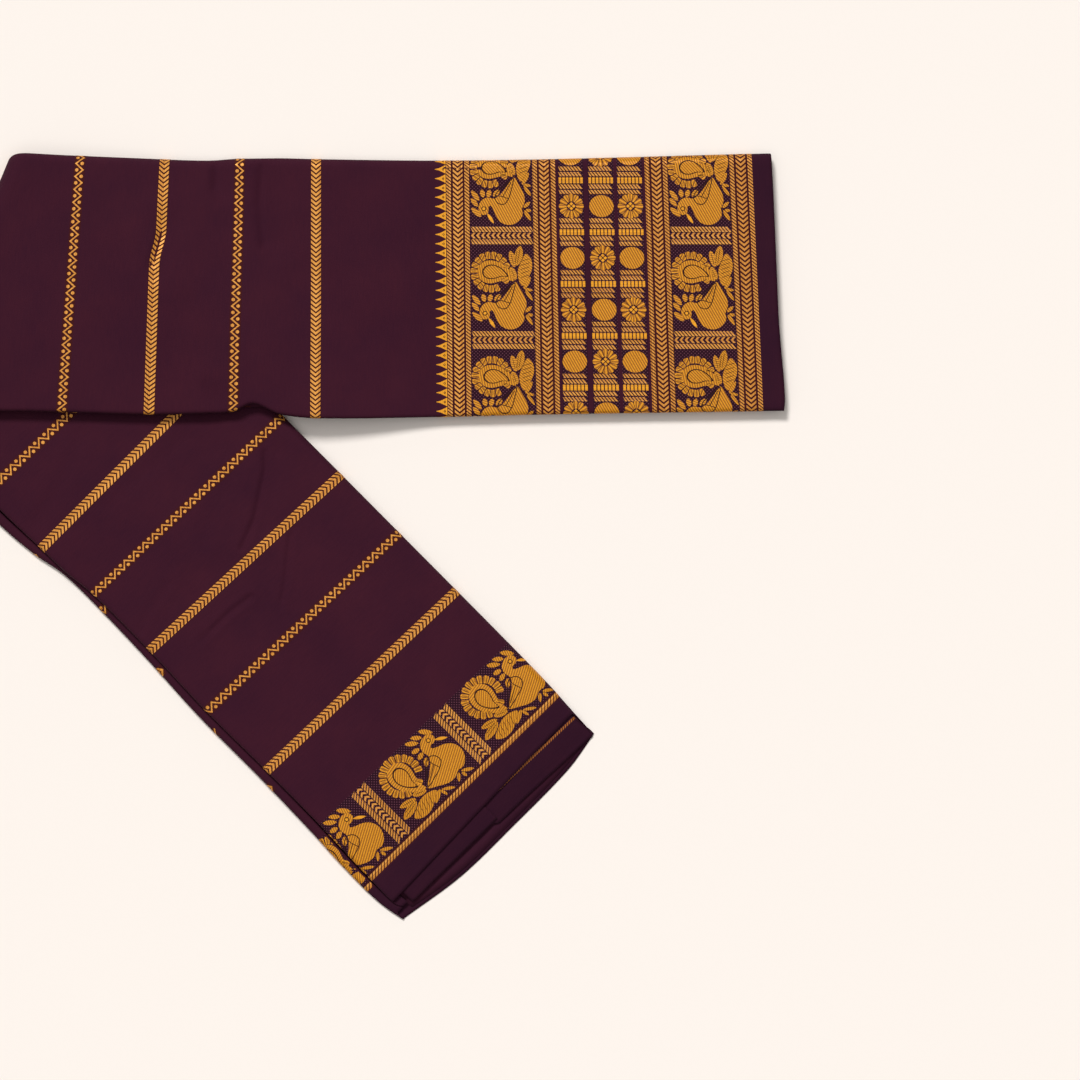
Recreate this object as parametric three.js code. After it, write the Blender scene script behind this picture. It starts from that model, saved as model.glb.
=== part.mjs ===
// A cotton saree, folded for the shelf. The cloth is folded in half five times along its length, which
// gives a strip of about 32 layers, and the strip is folded once more on the diagonal. One leg of the
// strip lies on the floor at 45 degrees, and the other leg lies on it and comes down to the floor past it.
// Millimetres, +Z up, the floor at Z = 0. The outer layers of each leg are one wall of cloth that goes over
// the top, round the closed fold and under the leg. The layers inside it are one rounded solid.
import * as THREE from "three";

// Driving dimensions
const LEG_THICKNESS = 12; // 32 layers of thin cotton, pressed together
const WALL = 1.4; // the outer layers of a leg, taken together
const GAP = 0.3; // between a wall and what lies in it
const LEG_ANGLE = 45; // degrees between the two legs
const STRIP_WIDTH = 187; // from the closed fold to the edge with two rolls
const CORNER = { x: -240.3, y: 277.9 }; // where the closed folds of the two legs meet at the crease
const TUCK = 7; // how far the cloth runs back in under a roll
const CROWN = 0.8; // how far the middle of a leg stands over its sides
const DESCENT = 80; // width of the stretch where the top leg comes down to the floor
const DESCENT_START = 14; // it begins this far past the edge of the leg below
const LOWER_LEG_LENGTH = 598; // from the corner to the free end
const THINNING = 90; // the stretch before the free end where the lower leg thins out
const THINNING_DROP = 4.5; // how much lower its upper side is at the free end
const CROWN_RISE = 60; // the stretch where the lower leg's crown rises, clear of the top leg
const END_ROUND = 2; // the lowest and highest part of a leg's free end, which is straight

const rad = THREE.MathUtils.degToRad;
const smooth = (t) => THREE.MathUtils.smoothstep(t, 0, 1);
const lerp = THREE.MathUtils.lerp;

// The crease halves the angle between the legs. turnIn points from it into the cloth.
const HALF_ANGLE = rad(LEG_ANGLE / 2);
const STACK = 2 * LEG_THICKNESS + GAP;
const TURN_RADIUS = STACK / 2;
const creaseWay = { x: -Math.sin(HALF_ANGLE), y: -Math.cos(HALF_ANGLE) };
const turnIn = { x: Math.cos(HALF_ANGLE), y: -Math.sin(HALF_ANGLE) };

// Edges of each leg, measured from the corner: along the leg, and across it from the closed fold.
// closed is the closed fold, upper and lower are the two rolls at the other edge.
const topLeg = {
  heading: { x: 1, y: 0 },
  side: { x: 0, y: -1 },
  mitre: -1,
  edges: [
    { along: -70, closed: 0.5, upper: 187.5, lower: 180 },
    { along: 0, closed: 0.8, upper: 186.8, lower: 180 },
    { along: 40, closed: 2.7, upper: 187.6, lower: 180 },
    { along: 97, closed: 4.6, upper: 189.2, lower: 181 },
    { along: 140, closed: 5.8, upper: 188.4, lower: 182 },
    { along: 160, closed: 4.6, upper: 187.0, lower: 183 },
    { along: 174, closed: 4.3, upper: 181.5, lower: 184 },
    { along: 193, closed: 4.1, upper: 189.0, lower: 184 },
    { along: 222, closed: 4.8, upper: 192.0, lower: 184 },
    { along: 306, closed: 5.8, upper: 190.8, lower: 182 },
    { along: 380, closed: 5.0, upper: 189.0, lower: 181 },
    { along: 545, closed: 0.6, upper: 186.4, lower: 179 },
  ],
  topEnd: [
    { across: 0, end: 546.6 },
    { across: 30, end: 548.2 },
    { across: 122, end: 552.2 },
    { across: 177, end: 556.6 },
    { across: 190, end: 555.6 },
  ],
  floorEnd: [
    { across: 0, end: 544.4 },
    { across: 90, end: 549.0 },
    { across: 190, end: 552.4 },
  ],
  coreEnd: [
    { across: 0, end: 543.4 },
    { across: 90, end: 547.4 },
    { across: 190, end: 551.0 },
  ],
};
const lowerLeg = {
  heading: { x: Math.cos(rad(LEG_ANGLE)), y: -Math.sin(rad(LEG_ANGLE)) },
  side: { x: -Math.cos(rad(LEG_ANGLE)), y: -Math.sin(rad(LEG_ANGLE)) },
  mitre: 1,
  edges: [
    { along: 0, closed: -0.5, upper: 187.5, lower: 196.5 },
    { along: 150, closed: -3.0, upper: 188.5, lower: 197.0 },
    { along: 188, closed: -3.4, upper: 188.4, lower: 196.5 },
    { along: 218, closed: -3.6, upper: 187.4, lower: 193.6 },
    { along: 240, closed: -3.6, upper: 187.0, lower: 189.4 },
    { along: 268, closed: -3.6, upper: 184.2, lower: 188.6 },
    { along: 325, closed: -3.5, upper: 184.3, lower: 190.0 },
    { along: 382, closed: -3.3, upper: 186.2, lower: 192.8 },
    { along: 445, closed: -3.1, upper: 185.9, lower: 193.0 },
    { along: 500, closed: -2.8, upper: 186.3, lower: 194.4 },
    { along: 546, closed: -2.0, upper: 187.8, lower: 196.2 },
    { along: 571, closed: -0.6, upper: 188.6, lower: 195.6 },
    { along: 596, closed: 0.6, upper: 187.0, lower: 191.0 },
  ],
  topEnd: [
    { across: 0, end: 571.4 },
    { across: 94, end: 573.4 },
    { across: 190, end: 576.0 },
  ],
  floorEnd: [
    { across: 0, end: 593.4 },
    { across: 30, end: 598.0 },
    { across: 90, end: 598.7 },
    { across: 145, end: 597.7 },
    { across: 195, end: 590.2 },
  ],
  coreEnd: [
    { across: 0, end: 591.0 },
    { across: 30, end: 595.6 },
    { across: 90, end: 596.4 },
    { across: 145, end: 595.4 },
    { across: 195, end: 587.2 },
  ],
};

// Two more folds show at the lower end, under the top layers. from and to are across the leg, start and
// end are along it, and top is the height of the layer's upper side.
const secondFold = { from: 0, to: 128, start: 532, endAtFold: 593.4, end: 590.2, top: 8.7 };
const cornerFold = { from: 92.5, to: 178, start: 536, endAtFold: 586.6, end: 586.0, top: 10.2 };
const FOLD_WALL = 1.1;
const FOLD_END_CURVE = 90; // how far across the leg the end of a fold curves

// The largest troughs in the upper faces: a line from one point to another, in millimetres from the origin
const troughs = [
  { leg: topLeg, x1: -57, y1: 268, x2: -52, y2: 214, depth: 1.5, width: 9 },
  { leg: topLeg, x1: -88, y1: 269, x2: -90, y2: 250, depth: 1.2, width: 6 },
  { leg: topLeg, x1: -128, y1: 226, x2: -135, y2: 192, depth: 1.1, width: 8 },
  { leg: topLeg, x1: -90, y1: 103, x2: -80, y2: 92, depth: 1.6, width: 7 },
  { leg: lowerLeg, x1: -52, y1: 62, x2: -62, y2: 8, depth: 0.9, width: 7 },
];

// The value of a column of a table at a place between its rows, on a smooth curve through them
function readTable(rows, key, column, place) {
  const last = rows.length - 1;
  if (place <= rows[0][key]) return rows[0][column];
  if (place >= rows[last][key]) return rows[last][column];
  const i = rows.findIndex((row) => row[key] > place) - 1;
  const [before, here, next, after] = [i - 1, i, i + 1, i + 2].map((n) => rows[Math.min(Math.max(n, 0), last)]);
  const slope = (a, b) => (b[key] === a[key] ? 0 : (b[column] - a[column]) / (b[key] - a[key]));
  const span = next[key] - here[key];
  const t = (place - here[key]) / span;
  const m0 = slope(before, next) * span;
  const m1 = slope(here, after) * span;
  const t2 = t * t;
  const t3 = t2 * t;
  return (
    (2 * t3 - 3 * t2 + 1) * here[column] +
    (t3 - 2 * t2 + t) * m0 +
    (3 * t2 - 2 * t3) * next[column] +
    (t3 - t2) * m1
  );
}

// Where a leg begins, on the line where the turn of the crease takes over
const startAlong = (leg, across) =>
  (TURN_RADIUS + GAP + leg.mitre * Math.sin(HALF_ANGLE) * across) / Math.cos(HALF_ANGLE);

const planPoint = (leg, along, across) => ({
  x: CORNER.x + along * leg.heading.x + across * leg.side.x,
  y: CORNER.y + along * leg.heading.y + across * leg.side.y,
});

// How far the underside of the top leg is above the floor
function liftAt(x, y) {
  const outward = (x - CORNER.x) * -lowerLeg.side.x + (y - CORNER.y) * -lowerLeg.side.y;
  return (LEG_THICKNESS + GAP) * (1 - smooth((outward - DESCENT_START) / DESCENT));
}

function troughAt(leg, x, y) {
  let depth = 0;
  for (const trough of troughs) {
    if (trough.leg !== leg) continue;
    const dx = trough.x2 - trough.x1;
    const dy = trough.y2 - trough.y1;
    const t = THREE.MathUtils.clamp(
      ((x - trough.x1) * dx + (y - trough.y1) * dy) / (dx * dx + dy * dy),
      0,
      1,
    );
    const distance = Math.hypot(x - trough.x1 - t * dx, y - trough.y1 - t * dy);
    depth += trough.depth * Math.exp(-((distance / trough.width) ** 2));
  }
  return depth;
}

// Puts a point of a flat, straight leg where it lies: along, across, and height over the leg's underside
function place(leg, along, across, height) {
  const p = planPoint(leg, along, across);
  const share = height / LEG_THICKNESS;
  const middle = Math.sin(Math.PI * THREE.MathUtils.clamp(across / STRIP_WIDTH, 0, 1));
  let z = height - share * troughAt(leg, p.x, p.y);
  if (leg === topLeg) {
    z += liftAt(p.x, p.y) + share * CROWN * middle;
  } else {
    const clearOfTopLeg = smooth((CORNER.y - STRIP_WIDTH - LEG_THICKNESS - p.y) / CROWN_RISE);
    const thinning = smooth((along - (LOWER_LEG_LENGTH - THINNING)) / THINNING);
    z += share * (CROWN * middle * clearOfTopLeg - THINNING_DROP * thinning);
  }
  return [p.x, p.y, z];
}

// The section of a leg's wall: in from under the upper roll, over the top, round the closed fold, under
// the leg, and in over the lower roll. inset moves it into the cloth.
const ROLL_STEPS = 4;
const FOLD_STEPS = 8;
const FACE_STEPS = 8;
const HALF_THICKNESS = LEG_THICKNESS / 2;
const ROLL = HALF_THICKNESS / 2 - GAP / 4;

function edgesOf(leg, along) {
  const [closed, upper, lower] = ["closed", "upper", "lower"].map((c) => readTable(leg.edges, "along", c, along));
  return { closed, upper, lower, inner: Math.min(upper, lower) - TUCK - GAP };
}

// Places across the flat part of a leg, from the layers at the rolls to the closed fold
const faceColumns = ({ closed, inner }) =>
  Array.from({ length: FACE_STEPS + 1 }, (_, i) => lerp(inner, closed + HALF_THICKNESS, i / FACE_STEPS));

const rollArc = (edge, centreHeight, inset) =>
  Array.from({ length: ROLL_STEPS + 1 }, (_, i) => {
    const turn = -Math.PI / 2 + (Math.PI * i) / ROLL_STEPS;
    return {
      across: edge - ROLL + (ROLL - inset) * Math.cos(turn),
      height: centreHeight + (ROLL - inset) * Math.sin(turn),
    };
  });

const foldPoint = (closed, turn, inset) => ({
  across: closed + HALF_THICKNESS - (HALF_THICKNESS - inset) * Math.cos(turn),
  height: HALF_THICKNESS + (HALF_THICKNESS - inset) * Math.sin(turn),
});

function sectionOf(leg, along, inset) {
  const edges = edgesOf(leg, along);
  const columns = faceColumns(edges);
  const foldTurns = Array.from({ length: FOLD_STEPS - 1 }, (_, i) => Math.PI / 2 - (Math.PI * (i + 1)) / FOLD_STEPS);
  return [
    { across: edges.upper - TUCK, height: HALF_THICKNESS + GAP / 2 + inset },
    ...rollArc(edges.upper, LEG_THICKNESS - ROLL, inset),
    ...columns.map((across) => ({ across, height: LEG_THICKNESS - inset })),
    ...foldTurns.map((turn) => foldPoint(edges.closed, turn, inset)),
    ...columns.toReversed().map((across) => ({ across, height: inset })),
    ...rollArc(edges.lower, ROLL, inset),
    { across: edges.lower - TUCK, height: HALF_THICKNESS - GAP / 2 - inset },
  ];
}

// A closed body between an outer and an inner surface, each a grid of rows and columns. endRows are more
// rows of points between the last outer row and the last inner row, for an end with grooves. The squares
// of the grid are halved the other way from column turned on, so that the underside matches the top.
function bodyBetween(rows, columns, outer, inner, { endRows = [], turned = columns } = {}) {
  const points = [];
  const triangles = [];
  const add = (point) => points.push(...point) / 3 - 1;
  const gridOf = (surface) =>
    Array.from({ length: rows }, (_, i) => Array.from({ length: columns }, (_, j) => add(surface(i, j))));
  const front = gridOf(outer);
  const back = gridOf(inner);
  const halve = (a, b, c, d) => triangles.push(a, b, c, a, c, d);
  const strip = (a, b) => {
    for (let j = 0; j + 1 < a.length; j += 1) {
      if (j < turned) halve(a[j], b[j], b[j + 1], a[j + 1]);
      else halve(b[j], b[j + 1], a[j + 1], a[j]);
    }
  };
  const backStrip = (a, b) => {
    for (let j = 0; j + 1 < a.length; j += 1) {
      if (j < turned) halve(b[j + 1], b[j], a[j], a[j + 1]);
      else halve(b[j], a[j], a[j + 1], b[j + 1]);
    }
  };
  for (let i = 0; i + 1 < rows; i += 1) {
    strip(front[i], front[i + 1]);
    backStrip(back[i], back[i + 1]);
  }
  strip(back[0], front[0]);
  const ends = endRows.map((row) => row.map(add));
  const ladder = [front[rows - 1], ...ends, back[rows - 1]];
  for (let i = 0; i + 1 < ladder.length; i += 1) strip(ladder[i], ladder[i + 1]);
  for (const side of [0, columns - 1]) {
    const rail = [...front.map((row) => row[side]), ...ends.map((row) => row[side])];
    const foot = back.map((row) => row[side]);
    const turnOver = side !== 0;
    const add3 = (a, b, c) => (turnOver ? triangles.push(a, c, b) : triangles.push(a, b, c));
    for (let i = 0; i + 1 < foot.length; i += 1) {
      add3(rail[i], foot[i], foot[i + 1]);
      add3(rail[i], foot[i + 1], rail[i + 1]);
    }
    for (let i = foot.length - 1; i + 1 < rail.length; i += 1) add3(rail[i], foot[foot.length - 1], rail[i + 1]);
  }
  const geometry = new THREE.BufferGeometry();
  geometry.setAttribute("position", new THREE.Float32BufferAttribute(points, 3));
  geometry.setIndex(triangles);
  return facingOut(geometry);
}

// Turns every triangle over where the body came out inside out
function facingOut(geometry) {
  const position = geometry.getAttribute("position");
  const index = geometry.index.array;
  const corner = [new THREE.Vector3(), new THREE.Vector3(), new THREE.Vector3()];
  let volume = 0;
  for (let i = 0; i < index.length; i += 3) {
    corner.forEach((v, k) => v.fromBufferAttribute(position, index[i + k]));
    volume += corner[0].dot(corner[1].clone().cross(corner[2]));
  }
  if (volume < 0) {
    for (let i = 0; i < index.length; i += 3) [index[i + 1], index[i + 2]] = [index[i + 2], index[i + 1]];
  }
  geometry.computeVertexNormals();
  return geometry;
}

// Places along a leg, from the crease to where its layers begin to end. They are closer together where the
// leg bends or is pinched.
const topStations = [0, 34, 66, 96, 122, 140, 154, 168, 182, 196, 212, 232, 258, 290, 330, 380, 440, 500, 540];
const lowerStations = [0, 70, 140, 190, 222, 246, 272, 300, 340, 390, 440, 490, 530, 562];

// The along position of a station: the first ones are spread out from the slanted line of the crease
function stationAlong(leg, stations, i, across, end) {
  if (i === stations.length) return end;
  const start = startAlong(leg, across);
  const last = stations[stations.length - 1];
  return lerp(start, last, stations[i] / last);
}

const nominalAlong = (leg, stations, i) =>
  stationAlong(leg, stations, Math.min(i, stations.length - 1), STRIP_WIDTH / 2, 0);

// The wall of a leg. Its upper layers end at topEnd and its lowest ones at floorEnd.
function legWall(leg, stations) {
  const surface = (inset) => (i, j) => {
    const point = sectionOf(leg, nominalAlong(leg, stations, i), inset)[j];
    const upperness = smooth((point.height - END_ROUND) / (LEG_THICKNESS - 2 * END_ROUND));
    const end = lerp(
      readTable(leg.floorEnd, "across", "end", point.across),
      readTable(leg.topEnd, "across", "end", point.across),
      upperness,
    );
    return place(leg, stationAlong(leg, stations, i, point.across, end), point.across, point.height);
  };
  const columns = sectionOf(leg, 0, 0).length;
  const turned = ROLL_STEPS + FACE_STEPS + FOLD_STEPS / 2;
  return bodyBetween(stations.length + 1, columns, surface(0), surface(WALL), { turned });
}

// The layers inside a leg. roomAt is how much lower than the wall's inner side their upper side is. Their
// free end is a stack of layers with grooves between them: endLayers is how far each is pushed out.
const endLayers = [0, -2.2, -0.6, -2.6, 0.2, -2.2, -1.0, -2.8, -0.4];
const SIDE_ROOM = 3.1; // more room at the closed fold, where another fold goes round the layers
const FULL_SIDE_ROOM_AT = 2; // the room over the layers from which there is all of it at the side
function legCore(leg, stations, roomAt) {
  const inset = WALL + GAP;
  const fullRise = HALF_THICKNESS - inset;
  const foldTurns = [67.5, 45, 22.5].map(rad);
  const columnsAt = (along) => {
    const edges = edgesOf(leg, along);
    const beside = SIDE_ROOM * smooth(roomAt(along) / FULL_SIDE_ROOM_AT);
    return [
      ...faceColumns(edges).map((across) => ({ across, rise: fullRise })),
      ...foldTurns.map((turn) => ({
        across: foldPoint(edges.closed, turn, inset + beside).across,
        rise: fullRise * Math.sin(turn),
      })),
    ];
  };
  const pointAt = (i, j, sign) => {
    const column = columnsAt(nominalAlong(leg, stations, i))[j];
    const end = readTable(leg.coreEnd, "across", "end", column.across);
    const along = stationAlong(leg, stations, i, column.across, end);
    const room = sign > 0 ? (roomAt(along) * column.rise) / fullRise : 0;
    return { along, across: column.across, height: HALF_THICKNESS + sign * column.rise - room };
  };
  const put = (p) => place(leg, p.along, p.across, p.height);
  const columns = columnsAt(0).length;
  const endRows = endLayers.slice(1, -1).map((push, k) =>
    Array.from({ length: columns }, (_, j) => {
      const upper = pointAt(stations.length, j, 1);
      const lowest = pointAt(stations.length, j, -1);
      const height = lerp(upper.height, lowest.height, (k + 1) / (endLayers.length - 1));
      return put({ ...upper, along: upper.along + push, height });
    }),
  );
  return bodyBetween(
    stations.length + 1,
    columns,
    (i, j) => put(pointAt(i, j, 1)),
    (i, j) => put(pointAt(i, j, -1)),
    { endRows },
  );
}

// A fold that shows at the lower end. The one that starts at the closed fold bends down round the layers
// inside, on a quarter of an ellipse.
const FOLD_ROWS = 6;
const FOLD_FLAT_STEPS = 6;
const BEND = { across: 4.0, height: 4.4 };
function endFold(fold) {
  const bendTurns = fold.from === 0 ? [0, 30, 60].map(rad) : [];
  const sectionAt = (along, inset) => {
    const closed = edgesOf(lowerLeg, along).closed;
    const first = fold.from === 0 ? closed + HALF_THICKNESS : fold.from;
    const bend = bendTurns.map((turn) => ({
      across: closed + HALF_THICKNESS - (BEND.across - inset) * Math.cos(turn),
      height: fold.top - BEND.height + (BEND.height - inset) * Math.sin(turn),
    }));
    const flat = Array.from({ length: FOLD_FLAT_STEPS + 1 }, (_, i) => ({
      across: lerp(first, fold.to, i / FOLD_FLAT_STEPS),
      height: fold.top - inset,
    }));
    return [...bend, ...flat];
  };
  const surface = (inset) => (i, j) => {
    const nominal = lerp(fold.start, fold.end, i / (FOLD_ROWS - 1));
    const point = sectionAt(nominal, inset)[j];
    const end = lerp(fold.endAtFold, fold.end, smooth((point.across - fold.from) / FOLD_END_CURVE));
    return place(lowerLeg, lerp(fold.start, end, i / (FOLD_ROWS - 1)), point.across, point.height);
  };
  return bodyBetween(FOLD_ROWS, sectionAt(fold.start, 0).length, surface(0), surface(FOLD_WALL));
}

// Room for the folds at the lower end, over the layers inside that leg. The layers sink before the folds
// begin, and once more where the top layers have ended.
const FIRST_SINK = { from: 500, over: 30 };
const SECOND_SINK = { from: 574, over: 24, depth: 1.6 };
function roomForEndFolds(along) {
  const roomNeeded = LEG_THICKNESS - WALL - GAP - (secondFold.top - FOLD_WALL - GAP);
  const slope = SECOND_SINK.depth * smooth((along - SECOND_SINK.from) / SECOND_SINK.over);
  return roomNeeded * smooth((along - FIRST_SINK.from) / FIRST_SINK.over) + slope;
}

// The turn at the crease: the strip goes round a half circle from the underside of the lower leg to the
// upper side of the top leg. Its two ends are rounded off.
const TURN_LENGTH = 209;
const TURN_START = -3;
const TURN_END_ROUND = 11;
const TURN_STEPS = 10;
const turnRows = [0, 0.012, 0.03, 0.055, 0.15, 0.3, 0.5, 0.7, 0.85, 0.945, 0.97, 0.988, 1];
function turnPoint(t, degrees, inset) {
  const c = TURN_START + t * TURN_LENGTH;
  const toEnd = Math.min(t, 1 - t) * TURN_LENGTH;
  const q = THREE.MathUtils.clamp(toEnd / TURN_END_ROUND, 0, 1);
  const fullness = 0.35 + 0.65 * Math.sqrt(1 - (1 - q) ** 2);
  const radius = TURN_RADIUS * fullness - inset;
  const out = TURN_RADIUS - radius * Math.cos(rad(degrees));
  const way = c + (toEnd < inset ? Math.sign(0.5 - t) * (inset - toEnd) : 0);
  return [
    CORNER.x + way * creaseWay.x + out * turnIn.x,
    CORNER.y + way * creaseWay.y + out * turnIn.y,
    TURN_RADIUS + radius * Math.sin(rad(degrees)),
  ];
}
const turnAngle = (j) => lerp(90, -90, j / TURN_STEPS);
function turnWall() {
  return bodyBetween(
    turnRows.length,
    TURN_STEPS + 1,
    (i, j) => turnPoint(turnRows[i], turnAngle(j), 0),
    (i, j) => turnPoint(turnRows[i], turnAngle(j), WALL),
  );
}
function turnCore() {
  const rows = turnRows.slice(1, -1);
  return bodyBetween(
    rows.length,
    TURN_STEPS / 2 + 1,
    (i, j) => turnPoint(rows[i], lerp(88, 0, j / (TURN_STEPS / 2)), WALL + GAP),
    (i, j) => turnPoint(rows[i], lerp(-88, 0, j / (TURN_STEPS / 2)), WALL + GAP),
  );
}

const maroonCotton = new THREE.MeshStandardMaterial({ color: 0x3a1626, roughness: 0.85, metalness: 0 });
const innerCotton = new THREE.MeshStandardMaterial({ color: 0x30121f, roughness: 0.9, metalness: 0 });

const saree = new THREE.Group();
function addPiece(name, geometry, material) {
  const mesh = new THREE.Mesh(geometry, material);
  mesh.name = name;
  saree.add(mesh);
}

addPiece("top_leg_outer_fold", legWall(topLeg, topStations), maroonCotton);
addPiece("top_leg_inner_layers", legCore(topLeg, topStations, () => 0), innerCotton);
addPiece("lower_leg_outer_fold", legWall(lowerLeg, lowerStations), maroonCotton);
addPiece("lower_leg_inner_layers", legCore(lowerLeg, lowerStations, roomForEndFolds), innerCotton);
addPiece("lower_end_second_fold", endFold(secondFold), maroonCotton);
addPiece("lower_end_corner_fold", endFold(cornerFold), maroonCotton);
addPiece("crease_outer_turn", turnWall(), maroonCotton);
addPiece("crease_inner_turn", turnCore(), innerCotton);

export default saree;
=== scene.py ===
import math
from types import SimpleNamespace

import bmesh
import bpy
import numpy as np
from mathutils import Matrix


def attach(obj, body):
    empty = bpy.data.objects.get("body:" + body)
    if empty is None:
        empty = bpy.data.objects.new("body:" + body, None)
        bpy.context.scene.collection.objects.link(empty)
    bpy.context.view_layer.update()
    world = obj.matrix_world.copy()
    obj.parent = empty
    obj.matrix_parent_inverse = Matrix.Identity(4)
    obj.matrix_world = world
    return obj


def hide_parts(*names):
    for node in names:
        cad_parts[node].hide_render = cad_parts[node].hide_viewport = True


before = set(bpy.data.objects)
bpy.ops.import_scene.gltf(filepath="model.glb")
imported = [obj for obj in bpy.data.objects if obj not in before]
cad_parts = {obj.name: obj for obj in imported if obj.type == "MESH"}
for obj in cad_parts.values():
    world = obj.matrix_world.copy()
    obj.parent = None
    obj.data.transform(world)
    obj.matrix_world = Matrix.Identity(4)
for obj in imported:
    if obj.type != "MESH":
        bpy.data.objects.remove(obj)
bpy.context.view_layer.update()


# Outer cloth of the top leg. The saree is a strip of about 32 layers of thin cotton, folded once more on
# the diagonal, and this leg lies on the other one and comes down to the floor past it. Its outer layer
# runs from the free end over the top and the closed fold, in under the two rolls and round the crease.
MM = 0.001
THICK = 12.0  # one leg, pressed together
HALF = THICK / 2
GAP = 0.3
ROLL = HALF / 2 - GAP / 4  # radius of a roll at the open edge
TUCK = 7.0  # how far the cloth runs back in under a roll
STRIP_WIDTH = 187.0
CORNER = (-240.3, 277.9)  # where the closed folds of the two legs meet
CROWN = 0.8
DESCENT_START = 14.0
DESCENT = 80.0
CLEAR = 0.12  # room under the cloth for the thread on its underside
CLOTH = 0.5  # thickness of the cloth that is drawn
FULL_LENGTH = 550.0  # of a leg, where a row's share of it is 1
FADE = 60.0  # how far from an edge the slack in the cloth grows to its full height
END_DROP, END_DROP_FROM, END_DROP_LENGTH = 4.5, 508.0, 90.0  # the lower leg gets thinner towards its end
TURN = (2 * THICK + GAP) / 2  # radius of the turn at the crease
HALF_ANGLE = math.radians(22.5)
CREASE_WAY = (-math.sin(HALF_ANGLE), -math.cos(HALF_ANGLE))
TURN_IN = (math.cos(HALF_ANGLE), -math.sin(HALF_ANGLE))
QUARTER = HALF * math.pi / 2  # half of the closed fold, measured round it
FOLD_SHIFT = QUARTER - HALF

top_leg = SimpleNamespace(
    heading=(1.0, 0.0),
    side=(0.0, -1.0),
    mitre=-1,
    # place along the leg, closed fold, upper roll, lower roll
    edges=[
        (-70, 0.5, 187.5, 180),
        (0, 0.8, 186.8, 180),
        (40, 2.7, 187.6, 180),
        (97, 4.6, 189.2, 181),
        (140, 5.8, 188.4, 182),
        (160, 4.6, 187.0, 183),
        (174, 4.3, 181.5, 184),
        (193, 4.1, 189.0, 184),
        (222, 4.8, 192.0, 184),
        (306, 5.8, 190.8, 182),
        (380, 5.0, 189.0, 181),
        (545, 0.6, 186.4, 179),
    ],
    # place across the leg, end of the upper layers, end of the lowest ones, end of the layers inside
    ends=[
        (0, 546.6, 544.4, 543.4),
        (30, 548.2, 545.9, 544.7),
        (90, 550.8, 549.0, 547.4),
        (122, 552.2, 550.1, 548.6),
        (177, 556.6, 551.9, 550.5),
        (190, 555.6, 552.4, 551.0),
    ],
    # how far a woven line has moved along the leg by the time it reaches the open edge
    lean=[(0, -14.5), (50, -13.7), (110, -6.8), (164, -4.4), (219, 0), (310, 1.4), (530, 8.6)],
    # points of the crease from the origin, depth, width
    creases=[
        ([(-57, 268), (-52, 214)], 1.5, 9.0),
        ([(-88, 269), (-90, 250)], 1.2, 6.0),
        ([(-128, 226), (-135, 192)], 1.1, 8.0),
        ([(-92, 104), (-84, 92)], 0.9, 8.0),
        ([(-60, 267), (-62, 240), (-59, 211)], 0.9, 2.8),
        ([(-93, 270), (-94, 253)], 1.0, 2.8),
        ([(-100, 110), (-93, 99), (-88, 90)], 0.35, 3.6),
        ([(-133, 217), (-139, 197)], 0.8, 2.6),
        ([(-222, 250), (-226, 225), (-224, 196)], 0.22, 7.0),
        ([(-172, 262), (-176, 214), (-170, 160)], 0.2, 8.0),
        ([(-110, 170), (-124, 140), (-128, 112)], 0.24, 6.0),
        ([(12, 262), (5, 204), (10, 150)], 0.2, 9.0),
        ([(38, 130), (30, 104)], 0.25, 6.0),
    ],
)
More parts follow.
